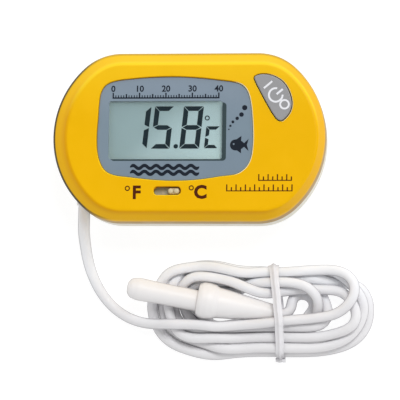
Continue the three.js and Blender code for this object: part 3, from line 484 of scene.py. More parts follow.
class Shader:
    """Node tree of a material or world, with a short call for each common node."""

    def __init__(self, owner, output="OutputMaterial"):
        owner.use_nodes = True
        self.owner = owner
        self.tree = owner.node_tree
        self.tree.nodes.clear()
        self.output = self.node(output)
        self.coords = self.node("TexCoord").outputs

    def node(self, kind, inputs=None, **settings):
        """Add a node; its inputs are values, or sockets to link from."""
        node = self.tree.nodes.new("ShaderNode" + kind)
        for key, value in settings.items():
            setattr(node, key, value)
        for key, value in (inputs or {}).items():
            if isinstance(value, bpy.types.NodeSocket):
                self.tree.links.new(value, node.inputs[key])
            else:
                node.inputs[key].default_value = value
        return node

    def finish(self, surface):
        self.tree.links.new(surface.outputs[0], self.output.inputs["Surface"])
        return self.owner

    def noise(self, scale, detail=3.0, rough=0.5, stretch=None):
        place = self.coords["Object"]
        if stretch:
            place = self.node("Mapping", {"Scale": stretch, "Vector": place}).outputs["Vector"]
        return self.node("TexNoise", {"Scale": scale, "Detail": detail, "Roughness": rough,
                                      "Vector": place}).outputs["Fac"]

    def fade(self, value, start, end, to_start=0.0, to_end=1.0, **settings):
        return self.node("MapRange", {
            "From Min": start, "From Max": end, "To Min": to_start, "To Max": to_end,
            "Value": value}, **settings).outputs["Result"]

    def mix(self, factor, first, second, blend="MIX"):
        return self.node("Mix", {0: factor, 6: first, 7: second},
                         data_type="RGBA", blend_type=blend).outputs[2]

    def math(self, operation, first, second):
        return self.node("Math", {0: first, 1: second}, operation=operation).outputs[0]

    def times(self, product, *factors):
        for factor in factors:
            product = self.math("MULTIPLY", product, factor)
        return product

    def separate(self, vector):
        return self.node("SeparateXYZ", {0: vector}).outputs

    def facing(self, blend):
        return self.node("LayerWeight", {"Blend": blend}).outputs["Facing"]

    def bump(self, strength, height):
        return self.node("Bump", {"Strength": strength, "Distance": 0.00002,
                                  "Height": height}).outputs["Normal"]


def turned_tone(tone, start, full, amount):
    """Painted shade: a deeper tone where the surface turns away from the view, between two facing
    values.
    """
    def tint(shader, color, geometry):
        turned = shader.fade(shader.facing(0.5), start, full)
        return shader.mix(shader.times(turned, amount), color, rgb(*tone))
    return tint


def cover_tone(shader, color, geometry):
    """Painted light on the front cover: painted shade on the -X -Y rims and the +X edge, painted
    highlights on the +Y rims and on a lip, and a painted shade along the dark outer edge.
    """
    fade, times = shader.fade, shader.times
    facing = shader.facing(0.5)
    normal = shader.separate(geometry["Normal"])
    place = shader.separate(shader.coords["Object"])
    # painted shade: a dark outer edge, mostly on the -X side, and the side wall, where the surface
    # turns away; only when seen from above
    low = times(fade(place["Z"], 0.01765, 0.01695), fade(facing, 0.42, 0.52))
    side = shader.math("MAXIMUM", fade(normal["X"], -0.10, -0.62),
                       fade(normal["Y"], 0.3, 0.8, 0.0, 0.42))
    wall = times(fade(normal["Z"], 0.36, 0.10, 0.0, 0.62), fade(facing, 0.70, 0.85))
    above = shader.separate(geometry["Incoming"])
    dark = times(shader.math("MAXIMUM", times(low, side), wall), fade(above["Z"], 0.82, 0.95))
    # how far the surface leans to +Y, towards the light, and to -X -Y, away from it
    lit = shader.math("ADD", times(normal["X"], 0.08), times(normal["Y"], 0.95))
    shade = shader.math("ADD", times(normal["X"], -0.8), times(normal["Y"], -0.6))
    # painted shade on the -X -Y rims and on the +X edge; painted highlights on the +Y rims and on
    # the lip of the panel recess at +X
    shaded_rim = times(fade(place["Z"], 0.0184, 0.0196), fade(shade, 0.12, 0.45, 0.0, 0.6))
    lit_rim = times(fade(place["Z"], 0.0190, 0.0197), fade(lit, 0.10, 0.34, 0.0, 0.6))
    right_rim_shade = times(fade(place["Z"], 0.0197, 0.0190), fade(normal["X"], 0.15, 0.55, 0.0, 0.55))
    lip_highlight = times(fade(place["X"], (10.0 + CASE_X) / 1000, (11.0 + CASE_X) / 1000),
                times(fade(normal["X"], -0.08, -0.35),
                      fade(place["Z"], 0.0194, 0.0196, 0.0, 0.9)))
    # lay the painted shades and highlights over the colour, the painted edge shade last
    for amount, tone in ((shaded_rim, (224, 152, 2)), (right_rim_shade, (240, 180, 0)),
                         (lit_rim, (255, 224, 50)), (lip_highlight, (255, 246, 206)),
                         (dark, (58, 44, 12))):
        color = shader.mix(amount, color, rgb(*tone))
    return color


def across(axis, start, end, *stops):
    """Colour that changes along an axis of the case; stops are position, r, g, b."""
    def build(shader):
        place = shader.separate(shader.coords["Object"])
        if axis == "X-Y":  # the diagonal from -X +Y to +X -Y
            offset, along = CASE_X - CASE_Y, shader.math("SUBTRACT", place["X"], place["Y"])
        else:
            offset, along = CASE_MIDDLE["XYZ".index(axis)], place[axis]
        factor = shader.fade(along, (start + offset) / 1000, (end + offset) / 1000)
        node = shader.node("ValToRGB", {"Fac": factor})
        node.color_ramp.interpolation = "EASE"
        elements = node.color_ramp.elements
        for element, stop in ((elements[0], stops[0]), (elements[1], stops[-1])):
            element.position, element.color = stop[0], rgb(*stop[1:])
        for stop in stops[1:-1]:
            elements.new(stop[0]).color = rgb(*stop[1:])
        return node.outputs["Color"]
    return build


def plastic(name, color, rough=0.4, metal=0.0, vary=0.05, grain=900.0, bump=0.08, spec=0.5,
            wear=0.25, worn=None, dirt=0.1, stretch=None, base=None, tint=None):
    """Moulded or machined finish.

    vary is the depth of the slow colour drift, grain and bump the scale and strength of the
    surface grain, wear and worn the amount and colour of the rubbed edges, and dirt the
    grime in the hollows. base builds the colour, and tint paints light and shade over it.
    """
    shader = Shader(bpy.data.materials.new(name))
    fade, noise, mix = shader.fade, shader.noise, shader.mix
    color = rgb(*color)
    paint = base(shader) if base else color
    drift = fade(noise(130.0, 4.0, 0.55), 0.3, 0.7)
    paint = mix(1.0, paint, mix(drift, scaled(WHITE, 1.0 - vary), WHITE), "MULTIPLY")
    geometry = shader.node("NewGeometry").outputs
    edge = fade(geometry["Pointiness"], 0.53, 0.62)
    speck = fade(noise(1500.0, 6.0, 0.65), 0.48, 0.62)
    rubbed = shader.times(edge, speck, wear)
    paint = mix(rubbed, paint, rgb(*worn) if worn else scaled(color, 1.12))
    hollow = fade(geometry["Pointiness"], 0.47, 0.40)
    smudge = fade(noise(520.0, 5.0, 0.6), 0.40, 0.70, 0.2, 1.0)
    paint = mix(shader.times(hollow, smudge, dirt), paint, scaled(color, 0.55))
    # painted light and shade laid over the colour
    if tint:
        paint = tint(shader, paint, geometry)
    gloss = fade(noise(260.0, 5.0, 0.6), 0.3, 0.7, max(0.02, rough - 0.05), rough + 0.06)
    gloss = shader.math("ADD", gloss, shader.times(rubbed, 0.25))
    fine = noise(grain, 5.0, 0.6, stretch)
    scratch = noise(700.0, 2.0, 0.5, (1.0, 14.0, 1.0))
    height = shader.math("ADD", fine, shader.times(fade(scratch, 0.62, 0.75), -0.4))
    shader.owner.diffuse_color = color
    return shader.finish(shader.node("BsdfPrincipled", {
        "Metallic": metal, "Specular IOR Level": spec, "Base Color": paint,
        "Roughness": gloss, "Normal": shader.bump(bump, height)}))


def clear(name, tint, rough, amount, ior=1.46, body=0.0, body_color=None):
    """Clear sheet or moulding: see-through, with a reflection scaled by amount and a haze
    of body_color whose least share is body."""
    shader = Shader(bpy.data.materials.new(name))
    inside = shader.node("BsdfTransparent", {"Color": tint})
    gloss = shader.fade(shader.noise(300.0, 4.0, 0.6), 0.3, 0.7,
                        max(0.01, rough * 0.6), rough * 1.5)
    normal = shader.bump(0.05, shader.noise(240.0))
    shine = shader.node("BsdfGlossy", {"Color": WHITE, "Roughness": gloss, "Normal": normal})
    fresnel = shader.node("Fresnel", {"IOR": ior, "Normal": normal}).outputs["Fac"]
    if body:
        color = shader.mix(shader.fade(shader.noise(180.0, 4.0, 0.6), 0.3, 0.7),
                           scaled(body_color, 0.88), body_color)
        haze = shader.node("BsdfPrincipled", {"Roughness": rough, "Base Color": color,
                                              "Normal": normal})
        share = shader.fade(shader.facing(0.35), 0.0, 1.0, body, min(1.0, body + 0.45))
        inside = shader.node("MixShader", {0: share, 1: inside.outputs[0],
                                           2: haze.outputs[0]})
    shader.owner.diffuse_color = tint
    return shader.finish(shader.node("MixShader", {
        0: shader.times(fresnel, amount), 1: inside.outputs[0], 2: shine.outputs[0]}))


CLEAN = dict(wear=0.0, dirt=0.0)
CORE = dict(rough=0.5, vary=0.1, grain=1800, bump=0.12, spec=0.4, wear=0.1, dirt=0.2)
MATERIALS = {
    "yellow": plastic(
        "yellow_shell", (243, 184, 9), rough=0.33, vary=0.035, grain=1400, bump=0.05,
        spec=0.07, wear=0.20, worn=(250, 212, 80), dirt=0.25, tint=cover_tone,
        # painted light: the shell is lighter towards +Y; tint lays on the cover's painted
        # highlights and shades
        base=across("Y", -18, 18, (0.0, 245, 187, 5), (0.55, 244, 186, 5),
                    (1.0, 250, 199, 26))),
    "panel": plastic(
        "panel_print", (126, 144, 158), rough=0.42, grain=2200, bump=0.06, spec=0.25,
        wear=0.2, worn=(160, 172, 182),
        # painted light: the panel is a little lighter towards +Y
        base=across("Y", -9, 12, (0.0, 124, 141, 156), (0.5, 125, 143, 157),
                    (1.0, 134, 149, 164))),
    "ink": plastic("panel_ink", (26, 34, 46), rough=0.45, vary=0.12, grain=3000, bump=0.05,
                   spec=0.12, **CLEAN),
    "maroon": plastic("maroon_ink", (84, 36, 12), rough=0.5, vary=0.12, grain=3000,
                      bump=0.05, spec=0.07, **CLEAN),
    "white_ink": plastic("white_ink", (240, 241, 246), rough=0.5, grain=3000, bump=0.05,
                         spec=0.25, **CLEAN),
    # painted shade along the +X and -Y edges of the window
    "band": plastic("panel_shadow_band", (50, 68, 72), vary=0.08, grain=2500, bump=0.05,
                    spec=0.25, **CLEAN),
    "lcd": plastic(
        "display_glass", (165, 186, 188), rough=0.22, vary=0.02, grain=3000, bump=0.01,
        spec=0.25, **CLEAN,
        # painted light: the display is darker towards -X +Y and lighter towards +X -Y
        base=across("X-Y", -25.0, 13.0, (0.0, 170, 191, 195), (0.35, 172, 193, 196),
                    (0.62, 198, 219, 222), (1.0, 216, 238, 240))),
    "segment": plastic("display_segment", (28, 46, 54), rough=0.3, vary=0.15, grain=2500,
                       bump=0.01, spec=0.2, **CLEAN),
    "window": clear("clear_window", (0.965, 0.98, 0.98, 1), rough=0.04, amount=0.5),
    "button": plastic("button_grey", (156, 156, 158), rough=0.5, grain=1900, bump=0.12,
                      spec=0.3, wear=0.3, worn=(190, 184, 176), dirt=0.3),
    "knob": plastic(
        "knob_beige", (222, 208, 172), rough=0.36, vary=0.06, grain=1500,
        worn=(246, 232, 200), dirt=0.45,
        # painted shade: the plate seen at the bottom of the slot is greyer and darker than the knob
        base=across("Z", 18.1, 18.5, (0.0, 165, 170, 150), (1.0, 216, 202, 164))),
    "pale": plastic("pale_shell", (226, 221, 204), rough=0.38, vary=0.04, grain=1400,
                    bump=0.10, spec=0.4, worn=(240, 238, 228), dirt=0.3),
    "white": plastic(
        "white_jacket", (238, 237, 239), rough=0.46, grain=1100, bump=0.14, spec=0.25,
        wear=0.0, dirt=0.25, stretch=(1, 1, 1),
        # painted light: lighter towards +Y, against the case's shade on the upper turns
        base=across("Y", -38, -17, (0.0, 239, 238, 240), (0.2, 243, 243, 246),
                    (0.42, 251, 252, 255), (1.0, 254, 254, 255)),
        # painted shade on the sides turned away from the view
        tint=turned_tone((108, 106, 112), start=0.38, full=1.0, amount=0.85)),
    "tie": plastic(
        "tie_film", (238, 237, 240), rough=0.30, grain=1500, bump=0.16, spec=0.35,
        wear=0.2, worn=(250, 250, 250), dirt=0.3,
        # painted shade on the sides turned away from the view
        tint=turned_tone((130, 127, 132), start=0.35, full=0.9, amount=0.75)),
    "cream": plastic(
        "probe_white", (247, 245, 245), rough=0.36, vary=0.03, grain=1300, bump=0.07,
        spec=0.3, wear=0.2, worn=(252, 250, 248), dirt=0.2,
        # painted shade on the sides turned away from the view
        tint=turned_tone((160, 156, 154), start=0.5, full=1.0, amount=0.8)),
    "grommet": plastic("grommet_white", (236, 234, 230), rough=0.42, grain=1300, bump=0.1,
                       spec=0.35, wear=0.2, dirt=0.3),
    "rubber": plastic(
        "dark_rubber", (58, 56, 58), rough=0.7, vary=0.2, grain=2600, bump=0.3, spec=0.2,
        wear=0.1, dirt=0.2, base=across("X", -17, 8, (0.0, 52, 50, 52), (1.0, 66, 64, 66))),
    "board": plastic("board_resist", (38, 98, 62), rough=0.38, vary=0.22, grain=2400,
                     bump=0.2, wear=0.3, worn=(190, 160, 90), dirt=0.2),
    "resin": plastic("black_resin", (24, 24, 27), rough=0.25, vary=0.2, bump=0.2, wear=0.1),
    "chip": plastic("chip_body", (44, 46, 50), rough=0.55, vary=0.15, grain=2200, bump=0.25,
                    spec=0.4, wear=0.3, dirt=0.2),
    "capacitor": plastic("capacitor_body", (166, 134, 94), rough=0.5, vary=0.12, grain=2000,
                         bump=0.2, spec=0.4, wear=0.3, worn=(200, 200, 200), dirt=0.2),
    "steel": plastic("steel", (196, 198, 200), rough=0.28, metal=1.0, vary=0.10, grain=1600,
                     bump=0.12, wear=0.35, worn=(236, 236, 238), dirt=0.5,
                     stretch=(1, 8, 1)),
    "brass": plastic("brass_leaf", (206, 172, 98), rough=0.32, metal=1.0, vary=0.12,
                     grain=1600, bump=0.12, wear=0.35, worn=(240, 220, 160), dirt=0.4),
    "foil": plastic("display_foil", (186, 196, 194), rough=0.35, metal=0.5, vary=0.1,
                    grain=1800, bump=0.1, wear=0.2),
    "red": plastic("red_core", (178, 52, 44), **CORE),
    "core_white": plastic("white_core", (224, 220, 212), **CORE),
    "sealant": plastic("sealant", (206, 200, 178), vary=0.12, bump=0.25, spec=0.4, wear=0.0,
                       dirt=0.2),
    "plunger": plastic("plunger_plastic", (216, 212, 204), rough=0.45, vary=0.08, grain=1600,
                       bump=0.12, spec=0.4, wear=0.2, dirt=0.2),
    "cup": clear("clear_soft", (0.86, 0.91, 0.91, 1), rough=0.16, amount=1.0, ior=1.48,
                 body=0.30, body_color=rgb(214, 224, 224)),
}

# ---------------------------------------------------------------- front cover
PANEL = relax(catmull(PANEL_POINTS, 180), 3)
BUTTON = relax(catmull(BUTTON_POINTS, 120), 2)


def case_rings(profile, crowned=False):
    """Case outlines for rows of height and inset; crowned ones drift towards the face."""
    return [ring(outline(inset) + (CROWN * min(inset / BEVEL, 1.0) if crowned else 0.0), z)
            for z, inset in profile]


# rows of height, inset and corner radius
outer = soften([(SEAM_Z, 0.14, 0), (12.14, 0.0, 0), (EDGE_Z, 0.0, 3.0),
                (FACE_Z, BEVEL, 1.1), (FACE_Z, BEVEL + 1.6, 0)], steps=9)
inner = [(18.2, 3.75), (18.0, 3.5), (15.8, 1.85), (15.4, 1.8), (12.15, 1.8), (SEAM_Z, 1.68)]
front = loft(case_rings(inner) + case_rings(outer, crowned=True))
front = join(front, *[rod(x, y, 2.2, 12.02, 16.9, 28) for x, y in SCREWS],
             *[rod(x, y, 1.9, 14.42, 18.35, 24) for x, y in POSTS])
front = cut(front, *[rod(x, y, 1.2, 11.9, 15.9, 20) for x, y in SCREWS],
            *[rod(x, y, 0.85, 14.3, 17.2, 16) for x, y in POSTS],
            hole(grow(PANEL, 0.04), 19.1, FACE_Z, 0.30),  # recess for the panel
            plate(round_rect(-18.0, 8.9, -6.2, 8.2, 1.0), 17.9, 19.4),  # window
            hole(grow(BUTTON, 0.0), 17.9, FACE_Z, 0.22),
            hole(round_rect(-7.15, -1.22, -13.38, -11.57, 0.8, 8, 4), 17.9, FACE_Z, 0.30))
piece("shell_front", front, "yellow", "front_cover")

# ---------------------------------------------------------------- panel, window and display
PANEL_TOP = 19.52
panel = plate(grow(PANEL, -0.03), 19.12, PANEL_TOP, top=0.10)
panel = cut(panel, hole(round_rect(-17.4, 7.7, -5.4, 7.5, 0.5), 19.0, PANEL_TOP, 0.10, 4))
face = piece("panel_face", panel, "panel", "face_panel")
face.visible_shadow = False  # so the light spreads over the whole window below it
piece("window_sheet", plate(round_rect(-17.88, 8.78, -6.08, 8.08, 0.9), 18.25, 19.08,
                            top=0.12, bottom=0.12, steps=3),
      "window", "display_window")


def seven_bars(x, y, wide, high, bar, segments, gap=0.11):
    """Outlines of the lit segments of a slanted figure with its lower -X corner at x, y."""
    slant = 0.1
    middle = high / 2
    flat = bar * 0.94  # thickness of the level bars
    inset, tip, shoulder = bar + gap * 0.3, gap * 2.2, bar + 0.05
    shapes = {
        "a": [(gap, high), (wide - gap, high), (wide - inset, high - flat),
              (inset, high - flat)],
        "f": [(0, high - gap), (bar, high - flat - gap), (bar, middle + flat / 2 + gap),
              (0, middle + gap)],
        "b": [(wide, high - gap), (wide - bar, high - flat - gap),
              (wide - bar, middle + flat / 2 + gap), (wide, middle + gap)],
        "g": [(tip, middle), (shoulder, middle + flat / 2),
              (wide - shoulder, middle + flat / 2), (wide - tip, middle),
              (wide - shoulder, middle - flat / 2), (shoulder, middle - flat / 2)],
        "e": [(0, middle - gap), (bar, middle - flat / 2 - gap), (bar, flat + gap), (0, gap)],
        "c": [(wide, middle - gap), (wide - bar, middle - flat / 2 - gap),
              (wide - bar, flat + gap), (wide, gap)],
        "d": [(gap, 0), (wide - gap, 0), (wide - inset, flat), (inset, flat)],
    }
    return [[(x + across_x + slant * up_y, y + up_y) for across_x, up_y in shapes[key]]
            for key in segments]


digits = []
for x, wide, segments in ((-13.53, 4.45, "bc"), (-8.25, 4.25, "afgcd"),
                          (-1.85, 4.40, "abcdefg")):
    digits += seven_bars(x, -2.88, wide, high=9.42, bar=1.08, segments=segments)
digits += seven_bars(3.62, -2.80, 3.0, high=4.86, bar=0.78, segments="afed", gap=0.09)
digits.append(circle(-2.62, -2.36, 0.50, 32))  # decimal point
mark("display_figures", together(*prisms(digits, SEGMENT_Z),
                                 annulus(4.28, 3.92, 0.56, 0.33, *SEGMENT_Z)),
     "segment")

# painted shade: a dark line along the +X and -Y edges of the window, where the recess wall is in
# shade
print_low, print_high = PANEL_PRINT_Z
mark("panel_shade_band",
     cut(prism(round_rect(-16.9, 8.62, -5.78, 7.15, 0.75, 10, 8), *PANEL_PRINT_Z),
         prism(round_rect(-17.44, 7.74, -5.44, 7.54, 0.5, 10, 8),
               print_low - 0.5, print_high + 0.5)),
     "band")

# scale of 40 divisions on the +Y side of the window
SCALE_START, SCALE_END, SCALE_Y = -16.5, 6.9, 8.36
scale_marks = []
for i in range(41):
    x = SCALE_START + (SCALE_END - SCALE_START) * i / 40
    high = 1.0 if i % 10 == 0 else (0.72 if i % 5 == 0 else 0.45)
    half = 0.15 if i % 5 == 0 else 0.10
    scale_marks.append(rect(x - half, x + half, SCALE_Y, SCALE_Y + high))
scale_marks.append(rect(SCALE_START - 0.15, SCALE_END + 0.15, 8.06, SCALE_Y))
numbers = [text_mesh(str(n), 1.9, 0.045, SCALE_START + (SCALE_END - SCALE_START) * n / 40,
                     10.2, PANEL_PRINT_Z) for n in (0, 10, 20, 30, 40)]
mark("panel_scale", together(*prisms(scale_marks, PANEL_PRINT_Z), *numbers),
     "ink")


def wave(y):
    """Bold wave along X with tapered ends."""
    start, end, swing, length, thick = -12.5, 2.8, 0.34, 2.56, 0.72
    x = np.linspace(start, end, 60)
    phase = 2 * math.pi * (x - start) / length
    middle = y + swing * np.sin(phase)
    slope = swing * 2 * math.pi / length * np.cos(phase)
    taper = np.clip(np.minimum(x - start, end - x) / 0.7 + 0.35, 0, 1)
    half = thick / 2 * np.sqrt(1 + slope**2) * taper
    return loft([np.array([[x[i], middle[i] - half[i], print_low],
                           [x[i], middle[i] + half[i], print_low],
                           [x[i], middle[i] + half[i], print_high],
                           [x[i], middle[i] - half[i], print_high]]) for i in range(len(x))])


mark("panel_waves", together(wave(-7.15), wave(-8.45)), "ink")

# fish and bubbles
FISH_X, FISH_Y = 11.45, -2.3
turn = np.linspace(0, 2 * math.pi, 49)[:-1]
fish_body = np.column_stack([FISH_X - 0.35 + 1.6 * np.cos(turn),
                             FISH_Y + 1.2 * np.sin(turn) * (1 - 0.2 * np.cos(turn))])
fish_fins = [[(FISH_X + x, FISH_Y + y) for x, y in fin] for fin in (
    [(0.7, 0), (2.15, 1.35), (1.75, 0), (2.15, -1.35)],  # tail
    [(-0.9, 1.0), (0.55, 2.0), (0.45, 0.7)],
    [(-0.7, -1.0), (0.45, -0.7), (0.5, -1.85)])]
fish = join(*prisms([fish_body] + fish_fins, PANEL_PRINT_Z))
fish = cut(fish, rod(FISH_X - 1.15, FISH_Y + 0.2, 0.2, print_low - 0.1, print_high + 0.1, 16))
# x, y, radius
BUBBLES = [(12.64, 5.97, 0.57), (11.95, 4.44, 0.50), (11.01, 3.6, 0.38),
           (10.08, 2.82, 0.32), (9.54, 1.94, 0.25), (9.2, 1.16, 0.16)]
bubbles = prisms([circle(*bubble, 28) for bubble in BUBBLES], PANEL_PRINT_Z)
mark("panel_fish", together(fish, *bubbles), "ink")

# unit marks and two rows of graduations on the face
units = [annulus(-12.95, -11.95, 0.57, 0.34, *FACE_PRINT_Z),
         annulus(1.15, -11.85, 0.57, 0.34, *FACE_PRINT_Z),
         text_mesh("F", 4.0, 0.14, -10.95, -13.0, FACE_PRINT_Z),
         text_mesh("C", 3.95, 0.17, 3.15, -12.9, FACE_PRINT_Z)]
ticks = []
for count, start, foot, long_top, short_top in ((8, 15.95, -10.13, -8.85, -9.35),
                                                (15, 8.95, -12.44, -11.1, -11.7)):
    for i in range(count):
        x = start + i * 1.02
        ticks.append(rect(x - 0.13, x + 0.13, foot, long_top if i % 2 == 0 else short_top))
ticks += [rect(15.82, 23.22, -10.30, -10.10), rect(8.82, 23.36, -12.62, -12.42)]
mark("face_marks", together(*prisms(ticks, FACE_PRINT_Z), *units), "maroon")

# ---------------------------------------------------------------- power button and its mark
flange = common(plate(grow(BUTTON, 0.7), 17.45, 18.1), prism(outline(4.1), 17.0, 19.0))
button = join(plate(grow(BUTTON, -0.17), 18.02, 20.4, top=0.30, steps=6), flange)
piece("button_cap", button, "button", "power_button", body="button")

power = together(
    arc_band(0, -0.15, 1.5, 0.42, 90 + 38, 90 + 322, *BUTTON_PRINT_Z),
    prism(rect(-0.22, 0.22, 0.1, 1.85), *BUTTON_PRINT_Z),
    prism(rect(-3.05, -2.63, -1.2, 1.2), *BUTTON_PRINT_Z),
    arc_band(2.85, 0, 0.95, 0.4, 0, 180, *BUTTON_PRINT_Z, steps=24),
    arc_band(2.85, 0, 0.95, 0.4, 180, 360, *BUTTON_PRINT_Z, steps=24))
mark("button_mark", placed(power, 19.62, 8.72, 0, turn=-50), "white_ink",
     body="button")

# ---------------------------------------------------------------- unit switch knob
KNOB_BUMP = [[0, 0], [0.62, 0], [0.62, 0.42], [0.55, 0.62], [0.40, 0.76], [0.2, 0.83],
             [0, 0.85]]  # radius, height
knob = join(box_mesh(-7.3, 1.7, -14.0, -10.9, 17.32, 18.05, 0.12),
            box_mesh(-3.9, -1.6, -13.1, -11.85, 15.8, 17.6, 0.15),
            plate(round_rect(-4.03, -1.52, -13.18, -11.77, 0.5, 6, 2), 17.9, 19.30, top=0.25),
            *[placed(lathe(KNOB_BUMP, 32), x, -12.475, 19.08) for x in (-3.40, -2.12)])
piece("knob_slider", knob, "knob", "unit_switch_knob", body="unit_knob")

# ---------------------------------------------------------------- rear cover
# rows of height, inset and corner radius
rear_profile = [tuple(point) for point in soften([
    (REAR_Z, 3.4, 0), (REAR_Z, 1.15, 0.8), (REAR_Z + 0.5, 0.45, 0.7),
    (REAR_Z + 1.4, 0.1, 1.2), (11.82, 0.1, 0), (11.96, 0.24, 0)], steps=5)]
rear_inside = [(11.96, 2.0), (12.9, 2.0), (13.0, 2.1), (13.0, 2.85), (12.9, 2.95),
               (10.4, 2.95), (9.6, 1.9), (7.1, 1.9)]
rear = loft(case_rings(rear_profile + rear_inside))
rear = join(rear, plate(round_rect(-13.9, 13.9, -7.4, 7.4, 1.5), 7.0, 12.3),
            box_mesh(-14.5, 14.5, 6.8, 17.0, 7.0, 8.3),
            *[rod(x, y, 2.6, 7.0, 11.9, 32) for x, y in SCREWS])
rear = cut(rear, plate(round_rect(-12.3, 12.3, -6.1, 6.1, 1.2), 5.4, 12.4))


def rear_hole(curve, z1, fillet):
    """Rounded mouth in the rear face, opening downwards."""
    return clean(moved(hole(curve, -z1, -REAR_Z, fillet), Matrix.Scale(-1, 4, (0, 0, 1))))


for x, y in SCREWS:
    rear = cut(rear, rod(x, y, 2.5, 11.94, 13.1, 32),
               rear_hole(circle(x, y, 2.25, 48), 7.6, 0.25), rod(x, y, 1.35, 7.0, 12.1, 24))
for side in (-1, 1):
    rear = cut(rear, rear_hole(circle(side * CUP_X, 0, 2.75, 56), 7.4, 0.3))
# bore for the lead, along Y; the matrix mirrors it, so its faces are turned back
bore = moved(rod(0, 0, 1.75, 0, 12, 32),
             frame_matrix((GROMMET_X, -22.0, GROMMET_Z), (1, 0, 0), (0, 0, 1), (0, 1, 0)))
bore.flip_normals()
rear = cut(rear, box_mesh(-12.6, 12.6, -7.6, 22, 5.3, 6.25),  # room for the door
           box_mesh(-13.5, 13.5, -7.6, 22, 6.2, 7.12), bore)
piece("shell_rear", rear, "pale", "rear_cover")

# ---------------------------------------------------------------- battery door
door = join(box_mesh(-12.35, 12.35, -7.3, 22, 5.0, 6.35),
            box_mesh(-13.2, 13.2, -7.3, 22, 6.3, 6.98))
door = common(door, loft(case_rings([p for p in rear_profile if p[0] < 8.8] + [(9.0, 0.1)])))
for i in range(4):  # grip grooves
    door = cut(door, plate(round_rect(-5, 5, 10.2 + 1.6 * i, 11.0 + 1.6 * i, 0.38, 6, 6),
                           5.2, 5.85, top=0.25))
door = cut(door, prism([(-1.5, 6.6), (1.5, 6.6), (0.0, 8.6)], 5.2, 5.68),  # arrow
           box_mesh(-9.2, 9.2, -1.7, 1.7, 6.72, 7.2))
piece("door_slide", door, "pale", "battery_door", body="door")

# ---------------------------------------------------------------- screws
# radius, height, corner radius
SCREW_PROFILE = [(0, 5.95, 0), (1.55, 5.95, 0.25), (1.9, 6.25, 0.2), (1.9, 7.1, 0.05),
                 (1.0, 7.45, 0), (1.0, 14.2, 0.2), (0, 15.15, 0)]
for i, (x, y) in enumerate(SCREWS):
    screw = lathe(soften(SCREW_PROFILE), 40)
    for turn in (20, 110):  # cross slot
        slot = box_mesh(-0.32, 0.32, -1.15, 1.15, 5.8, 6.75)
        screw = cut(screw, placed(slot, 0, 0, 0, turn + 13 * x))
    piece(f"screw_{i + 1}", placed(screw, x, y, 0), "steel", f"case_screw_{i + 1}")

# ---------------------------------------------------------------- suction cups
# radius, height, corner radius
CUP_PROFILE = [
    (0, 2.3, 0), (4.6, 2.15, 4), (7.3, 1.1, 1.0), (7.78, 0.4, 0.5), (7.85, 0.0, 0.05),
    (8.5, 0.0, 0.12), (8.5, 0.4, 0.2), (7.9, 0.95, 0.6), (6.2, 2.5, 3), (3.6, 3.5, 2),
    (2.35, 4.3, 1.2), (2.35, 7.35, 0.12), (3.3, 7.6, 0.2), (3.3, 8.1, 0.5), (2.0, 9.0, 1.0),
    (0, 9.2, 0)]
for name, side in (("cup_left", -1), ("cup_right", 1)):
    cup = placed(lathe(soften(CUP_PROFILE, steps=6), 72), side * CUP_X, 0, 0)
    piece("suction_" + name, cup, "cup", "suction_" + name, body=name, angle=40)

# ---------------------------------------------------------------- strain relief
# radius, distance towards +Y, corner radius
GROMMET_PROFILE = [(0, 0.55, 0), (1.0, 0.55, 0.1), (1.24, 0.75, 0.1), (1.24, 1.2, 0.05),
                   (1.24, 1.25, 0.05), (1.24, 1.5, 0.05), (1.64, 1.55, 0.05),
                   (1.64, 4.85, 0.05), (0, 4.85, 0)]
grommet = moved(lathe(soften(GROMMET_PROFILE, steps=3), 40),
                frame_matrix((GROMMET_X, -15.85, GROMMET_Z), (1, 0, 0), (0, 0, -1), (0, 1, 0)))
piece("strain_relief", grommet, "grommet", "cable_grommet")

# ---------------------------------------------------------------- lead
LEAD_RADIUS = 1.12
